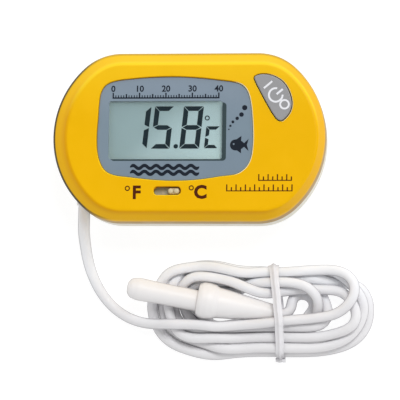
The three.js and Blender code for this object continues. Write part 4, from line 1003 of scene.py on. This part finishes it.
# x, y, z along the middle line of the lead, in hundredths of a millimetre
LEAD = table("""
-2394 -1447 930 -2397 -1527 924 -2401 -1605 906 -2406 -1680 879
-2411 -1753 845 -2416 -1823 808 -2422 -1892 768 -2427 -1960 726
-2429 -2027 681 -2428 -2093 635 -2425 -2159 589 -2422 -2225 543
-2417 -2292 499 -2411 -2360 456 -2403 -2429 415 -2394 -2500 377
-2382 -2571 343 -2368 -2644 311 -2350 -2717 283 -2330 -2791 259
-2306 -2865 237 -2279 -2939 219 -2249 -3012 203 -2216 -3084 189
-2180 -3155 178 -2142 -3225 169 -2100 -3293 161 -2055 -3360 155
-2007 -3425 151 -1956 -3487 149 -1903 -3547 148 -1846 -3605 150
-1787 -3659 154 -1725 -3711 160 -1661 -3758 168 -1594 -3803 179
-1526 -3843 193 -1456 -3880 208 -1384 -3912 226 -1312 -3941 247
-1239 -3966 270 -1165 -3987 295 -1091 -4004 322 -1017 -4018 350
-943 -4029 381 -869 -4037 413 -796 -4043 446 -722 -4048 479
-648 -4051 512 -574 -4052 542 -497 -4054 566 -417 -4054 581
-337 -4055 587 -256 -4056 589 -175 -4057 588 -95 -4059 587
-14 -4061 585 66 -4065 584 147 -4070 583 227 -4077 582 308 -4084 581
388 -4092 579 468 -4100 577 548 -4105 575
629 -4105 573 709 -4101 570 790 -4096 567 870 -4089 565 950 -4083 565
1030 -4077 567 1110 -4071 571 1190 -4065 577
1270 -4060 584 1350 -4055 593 1429 -4050 603 1509 -4043 613
1588 -4035 623 1667 -4027 630 1747 -4018 635 1827 -4009 636
1906 -3999 635 1985 -3989 629 2065 -3978 622 2144 -3967 614
2223 -3958 605 2302 -3951 596 2381 -3944 588 2461 -3938 584
2541 -3931 583 2620 -3924 585 2700 -3915 590 2779 -3906 595
2858 -3895 600 2937 -3883 602 3016 -3869 603 3093 -3851 605
3169 -3827 608 3243 -3796 615 3313 -3759 624 3378 -3715 636
3439 -3664 648 3493 -3606 659 3542 -3543 665 3582 -3474 666
3613 -3400 663 3631 -3323 657 3634 -3243 650 3620 -3165 642
3591 -3091 633 3547 -3025 624 3492 -2969 614 3427 -2924 603
3356 -2889 591 3281 -2864 578 3204 -2847 563 3126 -2837 550
3047 -2831 537 2968 -2829 528 2888 -2829 522 2808 -2832 519
2728 -2835 520 2649 -2840 523 2569 -2845 528 2489 -2851 533
2410 -2858 536 2330 -2864 538 2250 -2869 538 2170 -2874 535
2090 -2878 530 2010 -2880 525 1930 -2879 521 1850 -2878 518
1770 -2876 519 1690 -2874 523 1611 -2875 531 1531 -2881 540
1452 -2889 550 1373 -2897 560 1293 -2902 569 1214 -2903 576
1134 -2898 581 1054 -2888 584 975 -2873 584 897 -2856 582
819 -2836 577 742 -2818 570 664 -2801 560 586 -2785 547 509 -2771 531
432 -2759 513 354 -2752 495 275 -2748 480
196 -2748 468 116 -2752 463 36 -2759 462 -44 -2768 468 -123 -2777 477
-202 -2786 489 -281 -2796 498 -360 -2807 503
-439 -2823 500 -514 -2848 486 -584 -2880 464 -648 -2922 438
-701 -2974 410 -747 -3035 383 -786 -3101 361 -818 -3172 343
-848 -3246 329 -875 -3320 316 -898 -3395 299 -916 -3470 277
-926 -3545 249 -928 -3619 218 -923 -3693 188 -912 -3768 162
-895 -3844 142 -873 -3919 128 -845 -3994 121 -811 -4067 118
-772 -4137 119 -727 -4203 121 -677 -4265 122 -620 -4322 123
-559 -4374 124 -494 -4420 123 -425 -4462 122 -353 -4498 121
-279 -4529 120 -204 -4556 119 -128 -4581 118 -51 -4605 117
27 -4626 116 104 -4646 115 183 -4663 114 262 -4678 114 341 -4689 114
422 -4696 114 502 -4698 114 582 -4694 114
662 -4687 114 742 -4678 114 822 -4668 114 902 -4658 115 982 -4648 116
1062 -4641 118 1142 -4634 121 1222 -4629 126
1302 -4626 132 1383 -4623 139 1463 -4622 148 1542 -4622 158
1622 -4623 168 1702 -4625 179 1782 -4627 189 1862 -4629 196
1942 -4630 200 2023 -4631 197 2103 -4631 190 2183 -4630 181
2263 -4630 171 2343 -4628 160 2422 -4627 150 2502 -4624 141
2582 -4621 134 2662 -4617 127 2742 -4612 122 2822 -4604 119
2902 -4595 117 2982 -4583 115 3061 -4569 114 3139 -4552 114
3217 -4533 114 3294 -4511 114 3370 -4484 114 3444 -4454 114
3516 -4418 114 3585 -4377 114 3649 -4329 114 3709 -4276 114
3762 -4216 114 3808 -4151 114 3847 -4081 114 3878 -4007 114
3902 -3930 114 3918 -3852 114 3928 -3773 115 3931 -3693 116
3928 -3613 120 3916 -3534 126 3897 -3457 134 3869 -3383 141
3832 -3312 146 3784 -3248 149 3727 -3193 149 3660 -3150 147
3586 -3119 145 3509 -3100 145 3430 -3092 148 3351 -3089 158
3273 -3089 176 3197 -3086 201 3123 -3080 229 3050 -3068 259
2977 -3054 288 2903 -3039 313 2827 -3026 332 2749 -3016 345
2670 -3011 353 2590 -3010 356 2510 -3012 358 2431 -3016 359
2351 -3022 361 2272 -3029 363 2193 -3039 365 2114 -3048 365
2035 -3058 363 1956 -3067 356 1878 -3075 343 1800 -3081 325
1725 -3085 300 1651 -3083 270 1579 -3073 236 1510 -3055 203
1441 -3027 172 1373 -2994 148 1305 -2956 132 1236 -2918 123
1164 -2883 119 1089 -2856 116 1012 -2838 115 933 -2830 114
853 -2831 114 774 -2839 114 695 -2850 114 616 -2863 114
537 -2875 114 458 -2885 114 378 -2894 114 299 -2902 114 220 -2911 114
141 -2925 114 62 -2942 114 -15 -2963 114
-92 -2987 114 -167 -3015 114 -241 -3045 114 -317 -3072 114
-395 -3093 114 -474 -3112 114 -552 -3131 114 -628 -3157 114
-695 -3202 114 -735 -3272 114 -753 -3351 114 -747 -3431 114
-733 -3511 114 -716 -3589 114 -697 -3668 114 -677 -3745 114
-654 -3822 114 -626 -3898 114 -593 -3970 114 -552 -4039 114
-504 -4102 114 -447 -4159 114 -385 -4208 114 -317 -4250 114
-246 -4286 114 -172 -4317 114 -97 -4344 116 -22 -4368 122
54 -4390 133 129 -4412 150 202 -4433 173 274 -4456 199
345 -4479 226 415 -4504 254 487 -4527 279 561 -4548 300 637 -4565 317
715 -4577 330 794 -4585 338 873 -4588 344
953 -4588 347 1033 -4586 350 1113 -4582 352 1192 -4577 356
1272 -4572 361 1352 -4568 368 1431 -4565 377 1511 -4563 386
1590 -4562 396 1669 -4562 406 1749 -4563 415 1829 -4563 422
1909 -4563 426 1989 -4563 425 2069 -4564 421 2149 -4564 414
2229 -4565 405 2308 -4565 395 2388 -4565 386 2468 -4564 377
2548 -4563 368 2628 -4561 362 2708 -4557 356 2788 -4550 352
2867 -4540 348 2946 -4527 345 3025 -4511 343 3103 -4490 341
3179 -4466 339 3254 -4437 337 3327 -4404 334 3398 -4366 330
3466 -4323 326 3528 -4273 323 3586 -4217 322 3638 -4156 321
3685 -4091 320 3726 -4022 320 3760 -3949 320 3788 -3874 321
3809 -3796 323 3821 -3717 326 3821 -3637 332 3810 -3557 340
3788 -3480 349 3757 -3407 358 3716 -3339 368 3669 -3274 376
3617 -3213 382 3563 -3153 385 3506 -3096 385 3448 -3041 380
3387 -2989 371 3323 -2942 357 3257 -2901 337 3187 -2867 315
3115 -2842 291 3039 -2825 267 2962 -2818 244 2884 -2818 225
2805 -2823 209 2726 -2831 196 2647 -2841 186 2567 -2850 178
2487 -2860 174 2407 -2868 171 2326 -2875 171 2246 -2880 174
2165 -2883 179 2085 -2883 186 2005 -2879 196 1925 -2874 209
1846 -2866 224 1768 -2857 241 1690 -2848 259 1612 -2841 279
1533 -2838 297 1455 -2837 315 1375 -2838 329 1295 -2839 339
1215 -2838 347 1134 -2834 351 1054 -2826 353 974 -2815 352
895 -2799 350 816 -2781 345 738 -2762 337 661 -2744 324
583 -2730 308 505 -2718 290 427 -2710 272 348 -2705 257 268 -2704 243
189 -2708 233 109 -2718 227 30 -2735 226
-47 -2757 230 -122 -2786 239 -193 -2822 253 -260 -2863 271
-322 -2909 292 -381 -2960 314 -437 -3015 335 -489 -3075 348
-536 -3140 351 -576 -3209 340 -601 -3282 314 -611 -3362 302
-605 -3442 305 -590 -3521 310 -571 -3600 316 -550 -3677 322
-528 -3755 327 -503 -3832 330 -477 -3908 333 -448 -3983 336
-415 -4056 343 -376 -4126 355 -329 -4189 369 -270 -4243 381
-202 -4285 390 -129 -4317 397 -51 -4337 402 28 -4350 408
108 -4356 414 188 -4359 421 268 -4358 427 348 -4355 433
428 -4352 437 508 -4351 437 588 -4351 432 668 -4353 421 747 -4354 408
826 -4354 393 905 -4352 379 984 -4349 366
1063 -4345 357 1143 -4341 352 1223 -4337 351 1303 -4333 354
1383 -4330 360 1462 -4328 369 1542 -4327 380 1621 -4326 391
1700 -4326 402 1780 -4327 411 1860 -4327 416 1940 -4327 416
2020 -4327 413 2099 -4328 409 2179 -4328 406 2259 -4329 403
2339 -4329 402 2419 -4330 403 2499 -4330 406 2579 -4329 409
2658 -4326 413 2738 -4320 416 2817 -4313 420 2896 -4302 423
2975 -4290 428 3053 -4275 436 3130 -4258 446 3207 -4239 459
3282 -4218 476 3356 -4194 493 3428 -4165 510 3498 -4128 525
3561 -4081 536 3613 -4021 542 3649 -3950 541 3668 -3873 532
3667 -3795 515 3651 -3721 493 3625 -3651 465 3593 -3584 437
3554 -3519 412 3509 -3456 393 3457 -3397 380 3395 -3347 375
3326 -3309 377 3251 -3282 383 3173 -3266 391 3094 -3260 399
3015 -3258 404 2935 -3257 404 2856 -3255 400 2777 -3251 392
2698 -3248 385 2618 -3247 380 2539 -3248 379 2459 -3251 382
2380 -3256 388 2301 -3263 397 2222 -3272 405 2144 -3282 414
2066 -3294 425 1989 -3308 437 1912 -3321 452 1835 -3334 470
1759 -3343 490 1683 -3348 513 1607 -3346 538 1532 -3337 564
1459 -3320 589 1386 -3297 611 1313 -3270 628 1240 -3241 637
1166 -3210 639 1093 -3179 632 1021 -3150 616 949 -3122 595
878 -3096 572 806 -3073 549 731 -3052 529 655 -3035 516
577 -3020 510 498 -3008 509 419 -2997 513 340 -2988 518 261 -2982 521
181 -2980 521 102 -2984 514 25 -2997 501
-49 -3020 482 -117 -3054 457 -177 -3096 426 -231 -3143 391
-279 -3192 350 -324 -3240 305 -368 -3284 254 -400 -3331 198
-428 -3392 155 -445 -3466 129 -451 -3544 118 -448 -3624 114
-436 -3703 114 -415 -3781 115 -384 -3854 119 -343 -3921 131
-294 -3981 152 -240 -4030 184 -183 -4069 224 -121 -4096 267
-52 -4112 304 23 -4122 331 101 -4128 347 180 -4130 353
260 -4132 353 340 -4133 350 420 -4133 346 500 -4132 343 580 -4132 340
660 -4130 338 740 -4128 335 820 -4124 332
900 -4119 329 980 -4114 329 1060 -4109 331 1140 -4104 335
1220 -4099 342 1300 -4095 350 1380 -4092 359 1459 -4090 370
1539 -4089 382 1618 -4088 393 1698 -4088 403 1778 -4089 410
1859 -4089 414 1939 -4089 416 2020 -4089 416 2101 -4090 414
2181 -4091 411 2262 -4091 407 2342 -4091 405 2423 -4092 404
2503 -4092 406 2584 -4091 410 2664 -4086 414 2744 -4076 416
2822 -4056 413 2893 -4020 400 2951 -3968 380 2993 -3904 354
3017 -3833 326 3022 -3758 297 3012 -3682 271 2994 -3607 246
2968 -3534 224 2936 -3463 203 2899 -3394 185 2856 -3327 169
2806 -3265 157 2748 -3209 148 2681 -3165 142 2607 -3132 138
2529 -3111 136 2449 -3104 138 2368 -3111 141 2290 -3129 148
2213 -3154 158 2138 -3182 170 2064 -3210 182 1988 -3237 193
1911 -3261 199 1833 -3281 199 1754 -3295 193 1674 -3302 182
1594 -3301 170 1515 -3291 158 1436 -3274 146 1361 -3248 136
1288 -3215 128 1216 -3177 121 1146 -3138 117 1073 -3102 118
997 -3078 129 920 -3066 151 844 -3061 176 767 -3059 203
691 -3059 228 613 -3058 250 533 -3059 265 453 -3060 276 373 -3063 281
292 -3069 283 212 -3081 281 134 -3102 276
59 -3131 265 -11 -3167 246 -74 -3208 218 -124 -3258 178
-163 -3318 140 -186 -3393 118 -207 -3471 114 -212 -3552 114
-203 -3632 114 -179 -3709 114 -144 -3782 114 -99 -3849 114
-46 -3909 114 9 -3968 114 64 -4027 114 120 -4085 114
178 -4140 114 242 -4190 114 311 -4230 114 385 -4261 114
462 -4283 114 542 -4293 114 622 -4295 114 702 -4289 114
782 -4278 114 861 -4265 114 940 -4253 114 1019 -4243 115
1099 -4236 117 1179 -4231 121 1259 -4228 126 1339 -4227 133
1418 -4227 142 1498 -4228 153 1577 -4230 164 1656 -4232 175
1735 -4234 185 1815 -4234 194 1895 -4234 199 1975 -4235 199
2055 -4239 192 2134 -4245 182 2213 -4251 170 2292 -4253 157
2371 -4246 146 2449 -4229 138 2522 -4198 134 2591 -4157 138
2651 -4105 149 2700 -4045 169 2738 -3981 197 2764 -3914 232
2776 -3847 274 2785 -3782 319 2797 -3719 367 2809 -3656 415
2814 -3593 463 2810 -3528 509 2792 -3461 549 2760 -3397 583
2714 -3336 606 2657 -3281 617 2593 -3235 620 2522 -3197 617
2448 -3169 612 2372 -3147 606 2294 -3132 603 2215 -3122 600
2136 -3115 599 2056 -3112 598 1977 -3110 594 1898 -3110 586
1820 -3110 572 1743 -3111 554 1667 -3111 530 1592 -3111 504
1517 -3111 479 1441 -3112 456 1365 -3121 435 1291 -3139 414
1220 -3167 392 1154 -3201 364 1094 -3237 328 1036 -3269 283
979 -3291 233 915 -3301 187 845 -3298 150 770 -3285 126
693 -3268 115 615 -3254 114 536 -3244 114 456 -3239 114 377 -3237 114
297 -3242 114 219 -3258 114 147 -3292 114
88 -3346 114 50 -3416 114 28 -3493 114 27 -3572 114 52 -3647 114
97 -3713 115 149 -3773 116 203 -3831 117
257 -3888 119 313 -3944 120 375 -3993 119 444 -4030 118 520 -4052 116
598 -4058 115 676 -4052 114 753 -4041 114
830 -4026 114 907 -4012 114 985 -4000 114 1062 -3990 115
1140 -3979 116 1217 -3968 118 1294 -3957 122 1372 -3950 128
1450 -3951 137 1526 -3961 151 1601 -3977 168 1676 -3991 182
1754 -3997 190 1832 -3997 197 1910 -3991 201 1987 -3981 206
2065 -3980 206 2143 -3991 199 2218 -4008 186 2294 -4015 168
2370 -4005 149 2440 -3973 133 2500 -3922 124 2548 -3860 121
2592 -3795 118 2639 -3732 117 2680 -3664 116 2698 -3587 115
2687 -3508 116 2649 -3438 116 2590 -3385 119 2518 -3352 129
2442 -3342 145 2367 -3353 167 2300 -3388 194 2252 -3443 224
2226 -3512 252 2213 -3586 279 2197 -3659 306 2163 -3724 334
2107 -3773 364 2036 -3797 390 1960 -3796 410 1882 -3784 419
1801 -3769 428 1722 -3756 435 1644 -3743 443 1565 -3730 451
1487 -3717 459 1408 -3704 466 1329 -3691 474""", 3) / 100.0


def tube(path, radii, sides):
    """Round tube along a path; its frame is carried along without twist."""
    along = np.gradient(path, axis=0)
    along /= np.linalg.norm(along, axis=1)[:, None]
    normal = np.cross(along[0], UP)
    normal /= np.linalg.norm(normal)
    turn = (np.arange(sides) * 2 * math.pi / sides)[:, None]
    rings = []
    for centre, forward, radius in zip(path, along, radii):
        normal = normal - forward * (normal @ forward)
        normal /= np.linalg.norm(normal)
        sideways = np.cross(forward, normal)
        rings.append(centre + radius * (np.cos(turn) * normal + np.sin(turn) * sideways))
    return loft(rings)


runs = run_lengths(LEAD)
# thicker near the case, and slightly uneven all along
radii = LEAD_RADIUS + 0.06 + 0.17 * np.clip(1 - (runs - 6.0) / 12.0, 0, 1)
knots = np.arange(0, runs[-1] + 6, 6.0)
rng = np.random.default_rng(20)
radii += 0.018 * np.interp(runs, knots, rng.uniform(-1, 1, len(knots)))
# the coil's turn towards -X is pinched in
pinch = np.exp(-(np.linalg.norm(LEAD[:, :2] - np.array([-6.4, -31.2]), axis=1) / 4.2) ** 2)
pinch *= np.clip((runs - 60.0) / 20.0, 0, 1)
lead_path = LEAD + pinch[:, None] * np.array([0.62, -0.62, 0.0])
lead = piece("lead_jacket", tube(lead_path, radii, 16), "white",
             "sensor_cable", body=None, angle=60, weighted=False)
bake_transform(lead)

# ---------------------------------------------------------------- probe
TIP = np.array([-13.749, -32.474, 7.4])
probe_axis = np.array([0.98218, -0.16120, -0.09658])
probe_axis = probe_axis / np.linalg.norm(probe_axis)
probe_x = np.cross(UP, probe_axis)
probe_x /= np.linalg.norm(probe_x)
PROBE = frame_matrix(TIP, probe_x, np.cross(probe_axis, probe_x), probe_axis)
# radius, distance from the tip, corner radius
TUBE_PROFILE = [
    (0, -0.55, 0), (1.25, -0.42, 1.4), (2.18, 0.3, 1.6), (2.56, 2.0, 3.0), (2.50, 4.2, 8),
    (2.40, 7.5, 8), (2.40, 16.4, 0.1), (1.75, 16.4, 0.1), (1.75, 2.2, 0.6), (1.2, 1.4, 0.4),
    (0, 1.2, 0)]
BOOT_PROFILE = [
    (0.8, 13.5, 0.1), (1.6, 13.5, 0.1), (1.6, 16.62, 0.1), (2.5, 16.62, 0.05),
    (2.5, 15.6, 0.2), (2.8, 15.25, 0.4), (3.5, 15.4, 0.9), (4.0, 16.3, 1.4),
    (4.08, 17.6, 1.8), (3.9, 18.9, 1.4), (3.45, 20.0, 0.6), (3.0, 24.0, 3), (2.35, 28.5, 4),
    (1.75, 33.1, 0.2), (1.30, 33.1, 0.05), (1.30, 21.0, 0.1), (0.8, 21.0, 0.1)]
probe = moved(lathe(soften(TUBE_PROFILE, steps=5)), PROBE)
# the tube sits a little askew in its boot
probe.transform(Matrix.Translation(TIP) @ Matrix.Rotation(math.radians(-1.4), 4, "Z")
                @ Matrix.Translation(-TIP))
piece("probe_body", probe, "cream", "probe_tube", body="probe_lead", angle=40)
boot = moved(lathe(soften(BOOT_PROFILE, steps=5, closed=True)), PROBE)
piece("probe_collar", boot, "cream", "probe_boot", body="probe_lead")

# ---------------------------------------------------------------- twist tie
# a thin film over one wire, looped in an upright plane; along the plane, up
TIE = table("""
0.038 5.54 -0.075 4.321 -0.167 3.098 -0.088 1.893 0.689 0.957 1.868 0.715 3.094 0.682
4.319 0.649 5.545 0.628 6.771 0.629 7.997 0.629 9.223 0.63 10.449 0.63 11.675 0.63
12.901 0.631 14.127 0.631 15.353 0.631 16.579 0.632 17.805 0.632 19.031 0.635
20.078 1.183 20.268 2.35 19.919 3.525 19.564 4.698 18.697 5.509 17.549 5.94
16.402 6.372 15.254 6.804 14.107 7.236 12.954 7.652 11.732 7.637 10.507 7.577
9.283 7.517 8.058 7.457 6.834 7.397 5.609 7.337 4.385 7.277 3.175 7.124 1.999 6.777
0.825 6.424""", 2)
TIE_ORIGIN = np.array([18.41567, -27.38553, 0.0])
TIE_ALONG = np.array([0.0564, -0.9984, 0.0])
TIE_ACROSS = np.array([0.9984, 0.0564, 0.0])
HALF_WIDTH = 0.94

hull = relax(even(ccw(TIE), 220), 4)
# film section: across, out from the hull; raised in the middle over the wire
section = [(u, 0.20 + 0.36 * math.exp(-(u / 0.34) ** 2) + 0.05 * math.cos(math.pi * u / HALF_WIDTH))
           for u in np.linspace(-HALF_WIDTH, HALF_WIDTH, 13)]
section += [(u, 0.06) for u in np.linspace(HALF_WIDTH, -HALF_WIDTH, 7)]
rings = []
for point, normal, run in zip(hull, outward(hull), run_lengths(hull)[:len(hull)]):
    wobble = 0.10 * math.sin(run * 0.42) + 0.05 * math.sin(run * 1.1)
    ripple = 1 + 0.05 * math.sin(run * 3.1)
    lean = -0.26 + 0.123 * point[0] - 0.0048 * point[0] ** 2
    flare = 1 + 0.28 * math.exp(-(point[0] / 1.6) ** 2) if point[1] > 3 else 1.0
    rows = []
    for sideways, out in section:
        place = point + normal * (out * ripple)
        rows.append(TIE_ORIGIN + TIE_ALONG * place[0] + UP * place[1]
                    + TIE_ACROSS * (sideways * flare + wobble * 0.6 + lean))
    rings.append(np.array(rows))
band = loft(rings, loop=True)

# the two ends twisted together
twist_start = TIE_ORIGIN + TIE_ALONG * 20.75 + np.array([0, 0, 1.6])
twist = []
for i in range(25):
    s = i / 24
    turn = s * 4.2
    wide, high = 0.62 * (1 - 0.3 * s), 0.40
    centre = (twist_start + TIE_ACROSS * (1.25 - 2.2 * s)
              + TIE_ALONG * (0.12 * math.sin(s * 4)) + UP * (0.10 * math.sin(s * 5)))
    oval = [(math.cos(t) * wide, math.sin(t) * high)
            for t in np.linspace(0, 2 * math.pi, 13)[:-1]]
    twist.append(np.array([centre + TIE_ALONG * (x * math.cos(turn) - y * math.sin(turn))
                           + UP * (x * math.sin(turn) + y * math.cos(turn))
                           for x, y in oval]))
piece("tie_band", join(band, loft(twist)), "tie", "twist_tie",
      body="probe_lead", angle=50, weighted=False)

# ---------------------------------------------------------------- CAD pieces kept as they are
KEPT = {  # material, slot
    "lcd_glass": ("lcd", "display_glass"),
    "lcd_reflector": ("foil", "display_foil"),
    "zebra_strip": ("rubber", "dark_rubber"),
    "circuit_board": ("board", "board"),
    "chip_cover": ("resin", "black_resin"),
    "reference_resistor": ("chip", "chip_body"),
    "decoupling_capacitor": ("capacitor", "chip_body"),
    "power_switch_body": ("chip", "chip_body"),
    "power_switch_dome": ("steel", "steel"),
    "power_switch_plunger": ("plunger", "knob_beige"),
    "unit_switch_body": ("chip", "chip_body"),
    "battery_link": ("steel", "steel"),
    "battery_cell_1": ("steel", "steel"),
    "battery_cell_2": ("steel", "steel"),
    "battery_contact_positive": ("brass", "brass_leaf"),
    "battery_contact_negative": ("brass", "brass_leaf"),
    "board_screw_1": ("steel", "steel"),
    "board_screw_2": ("steel", "steel"),
    "board_lead_a": ("red", "red_core"),
    "board_lead_b": ("core_white", "white_jacket"),
    "thermistor": ("resin", "black_resin"),
    "probe_sealant": ("sealant", "sealant"),
    "probe_lead_a": ("red", "red_core"),
    "probe_lead_b": ("core_white", "white_jacket"),
}
SMOOTH = ("chip_cover", "thermistor", "power_switch_dome", "board_lead_a", "board_lead_b",
          "probe_lead_a", "probe_lead_b")
BEVELLED = ("circuit_board", "reference_resistor", "decoupling_capacitor",
            "power_switch_body", "unit_switch_body", "lcd_glass", "lcd_reflector",
            "zebra_strip", "battery_link")
for name, (finish, slot) in KEPT.items():
    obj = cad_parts[name]
    obj.data.materials.clear()
    obj.data.materials.append(MATERIALS[finish])
    for polygon in obj.data.polygons:
        polygon.use_smooth = name in SMOOTH
    if name in BEVELLED:
        bevel = obj.modifiers.new("edge", "BEVEL")
        bevel.width, bevel.segments = 0.00005, 2
        bevel.limit_method, bevel.angle_limit = "ANGLE", math.radians(50)

# ---------------------------------------------------------------- floor
floor_mesh = bpy.data.meshes.new("floor")
floor_mesh.from_pydata([(x, y, 0) for x, y in rect(-1.2, 1.2, -1.2, 1.2)], [], [(0, 1, 2, 3)])
floor = bpy.data.objects.new("floor", floor_mesh)
COLLECTION.objects.link(floor)
paper = Shader(bpy.data.materials.new("floor_paper"))
grey = paper.mix(paper.noise(60.0), (0.30, 0.30, 0.30, 1), (0.32, 0.32, 0.32, 1))
diffuse = paper.node("BsdfDiffuse", {"Color": grey})
glow = paper.node("Emission", {"Strength": 0.80})
lit_paper = paper.node("AddShader", {0: diffuse.outputs[0], 1: glow.outputs[0]})
unseen = paper.node("BsdfTransparent")
backfacing = paper.node("NewGeometry").outputs["Backfacing"]  # not seen from below
floor_mesh.materials.append(paper.finish(paper.node(
    "MixShader", {0: backfacing, 1: lit_paper.outputs[0], 2: unseen.outputs[0]})))

# ---------------------------------------------------------------- light
# the world lights more from +X and +Y and less from overhead; the backdrop itself is plain
world = bpy.data.worlds.new("studio")
bpy.context.scene.world = world
sky = Shader(world, "OutputWorld")
direction = sky.separate(sky.coords["Generated"])
strength = sky.times(
    sky.fade(direction["Y"], -1.0, 1.0, 0.63, 1.02),
    sky.fade(direction["Z"], 0.90, 0.975, 1.0, 0.2, interpolation_type="SMOOTHSTEP"),
    sky.fade(direction["X"], -1.0, 1.0, 0.78, 1.0))
camera_ray = sky.node("LightPath").outputs["Is Camera Ray"]
sky.finish(sky.node("Background", {
    "Strength": sky.fade(camera_ray, 0.0, 1.0, strength, 0.97), "Color": WHITE}))

key = bpy.data.lights.new("key", "SUN")
key.energy = 1.15
key.angle = math.radians(24)
key_object = bpy.data.objects.new("key", key)
key_direction = Vector((0.28, 0.38, 0.88))
key_object.rotation_euler = key_direction.to_track_quat("Z", "Y").to_euler()
COLLECTION.objects.link(key_object)

# ---------------------------------------------------------------- camera
VIEW_WIDTH, VIEW_DISTANCE = 88.04, 620.0
VIEW_TARGET = np.array([2.685, -14.005, 16.0])
SENSOR_WIDTH = 36.0
back = np.array([math.tan(math.radians(6.0)), -math.tan(math.radians(7.5)), 1.0])
back /= np.linalg.norm(back)
right = np.array([1.0, 0, 0]) - back * back[0]
right /= np.linalg.norm(right)
position = VIEW_TARGET + back * VIEW_DISTANCE
camera = bpy.data.cameras.new("camera")
camera.sensor_width = SENSOR_WIDTH
camera.lens = SENSOR_WIDTH * VIEW_DISTANCE / VIEW_WIDTH
camera.clip_start, camera.clip_end = 0.01, 20.0
camera_object = bpy.data.objects.new("camera", camera)
camera_object.matrix_world = frame_matrix((position + CASE_MIDDLE) / 1000,
                                          right, np.cross(back, right), back)
COLLECTION.objects.link(camera_object)
bpy.context.scene.camera = camera_object
bpy.context.scene.view_settings.view_transform = "Standard"
bpy.context.scene.view_settings.look = "None"
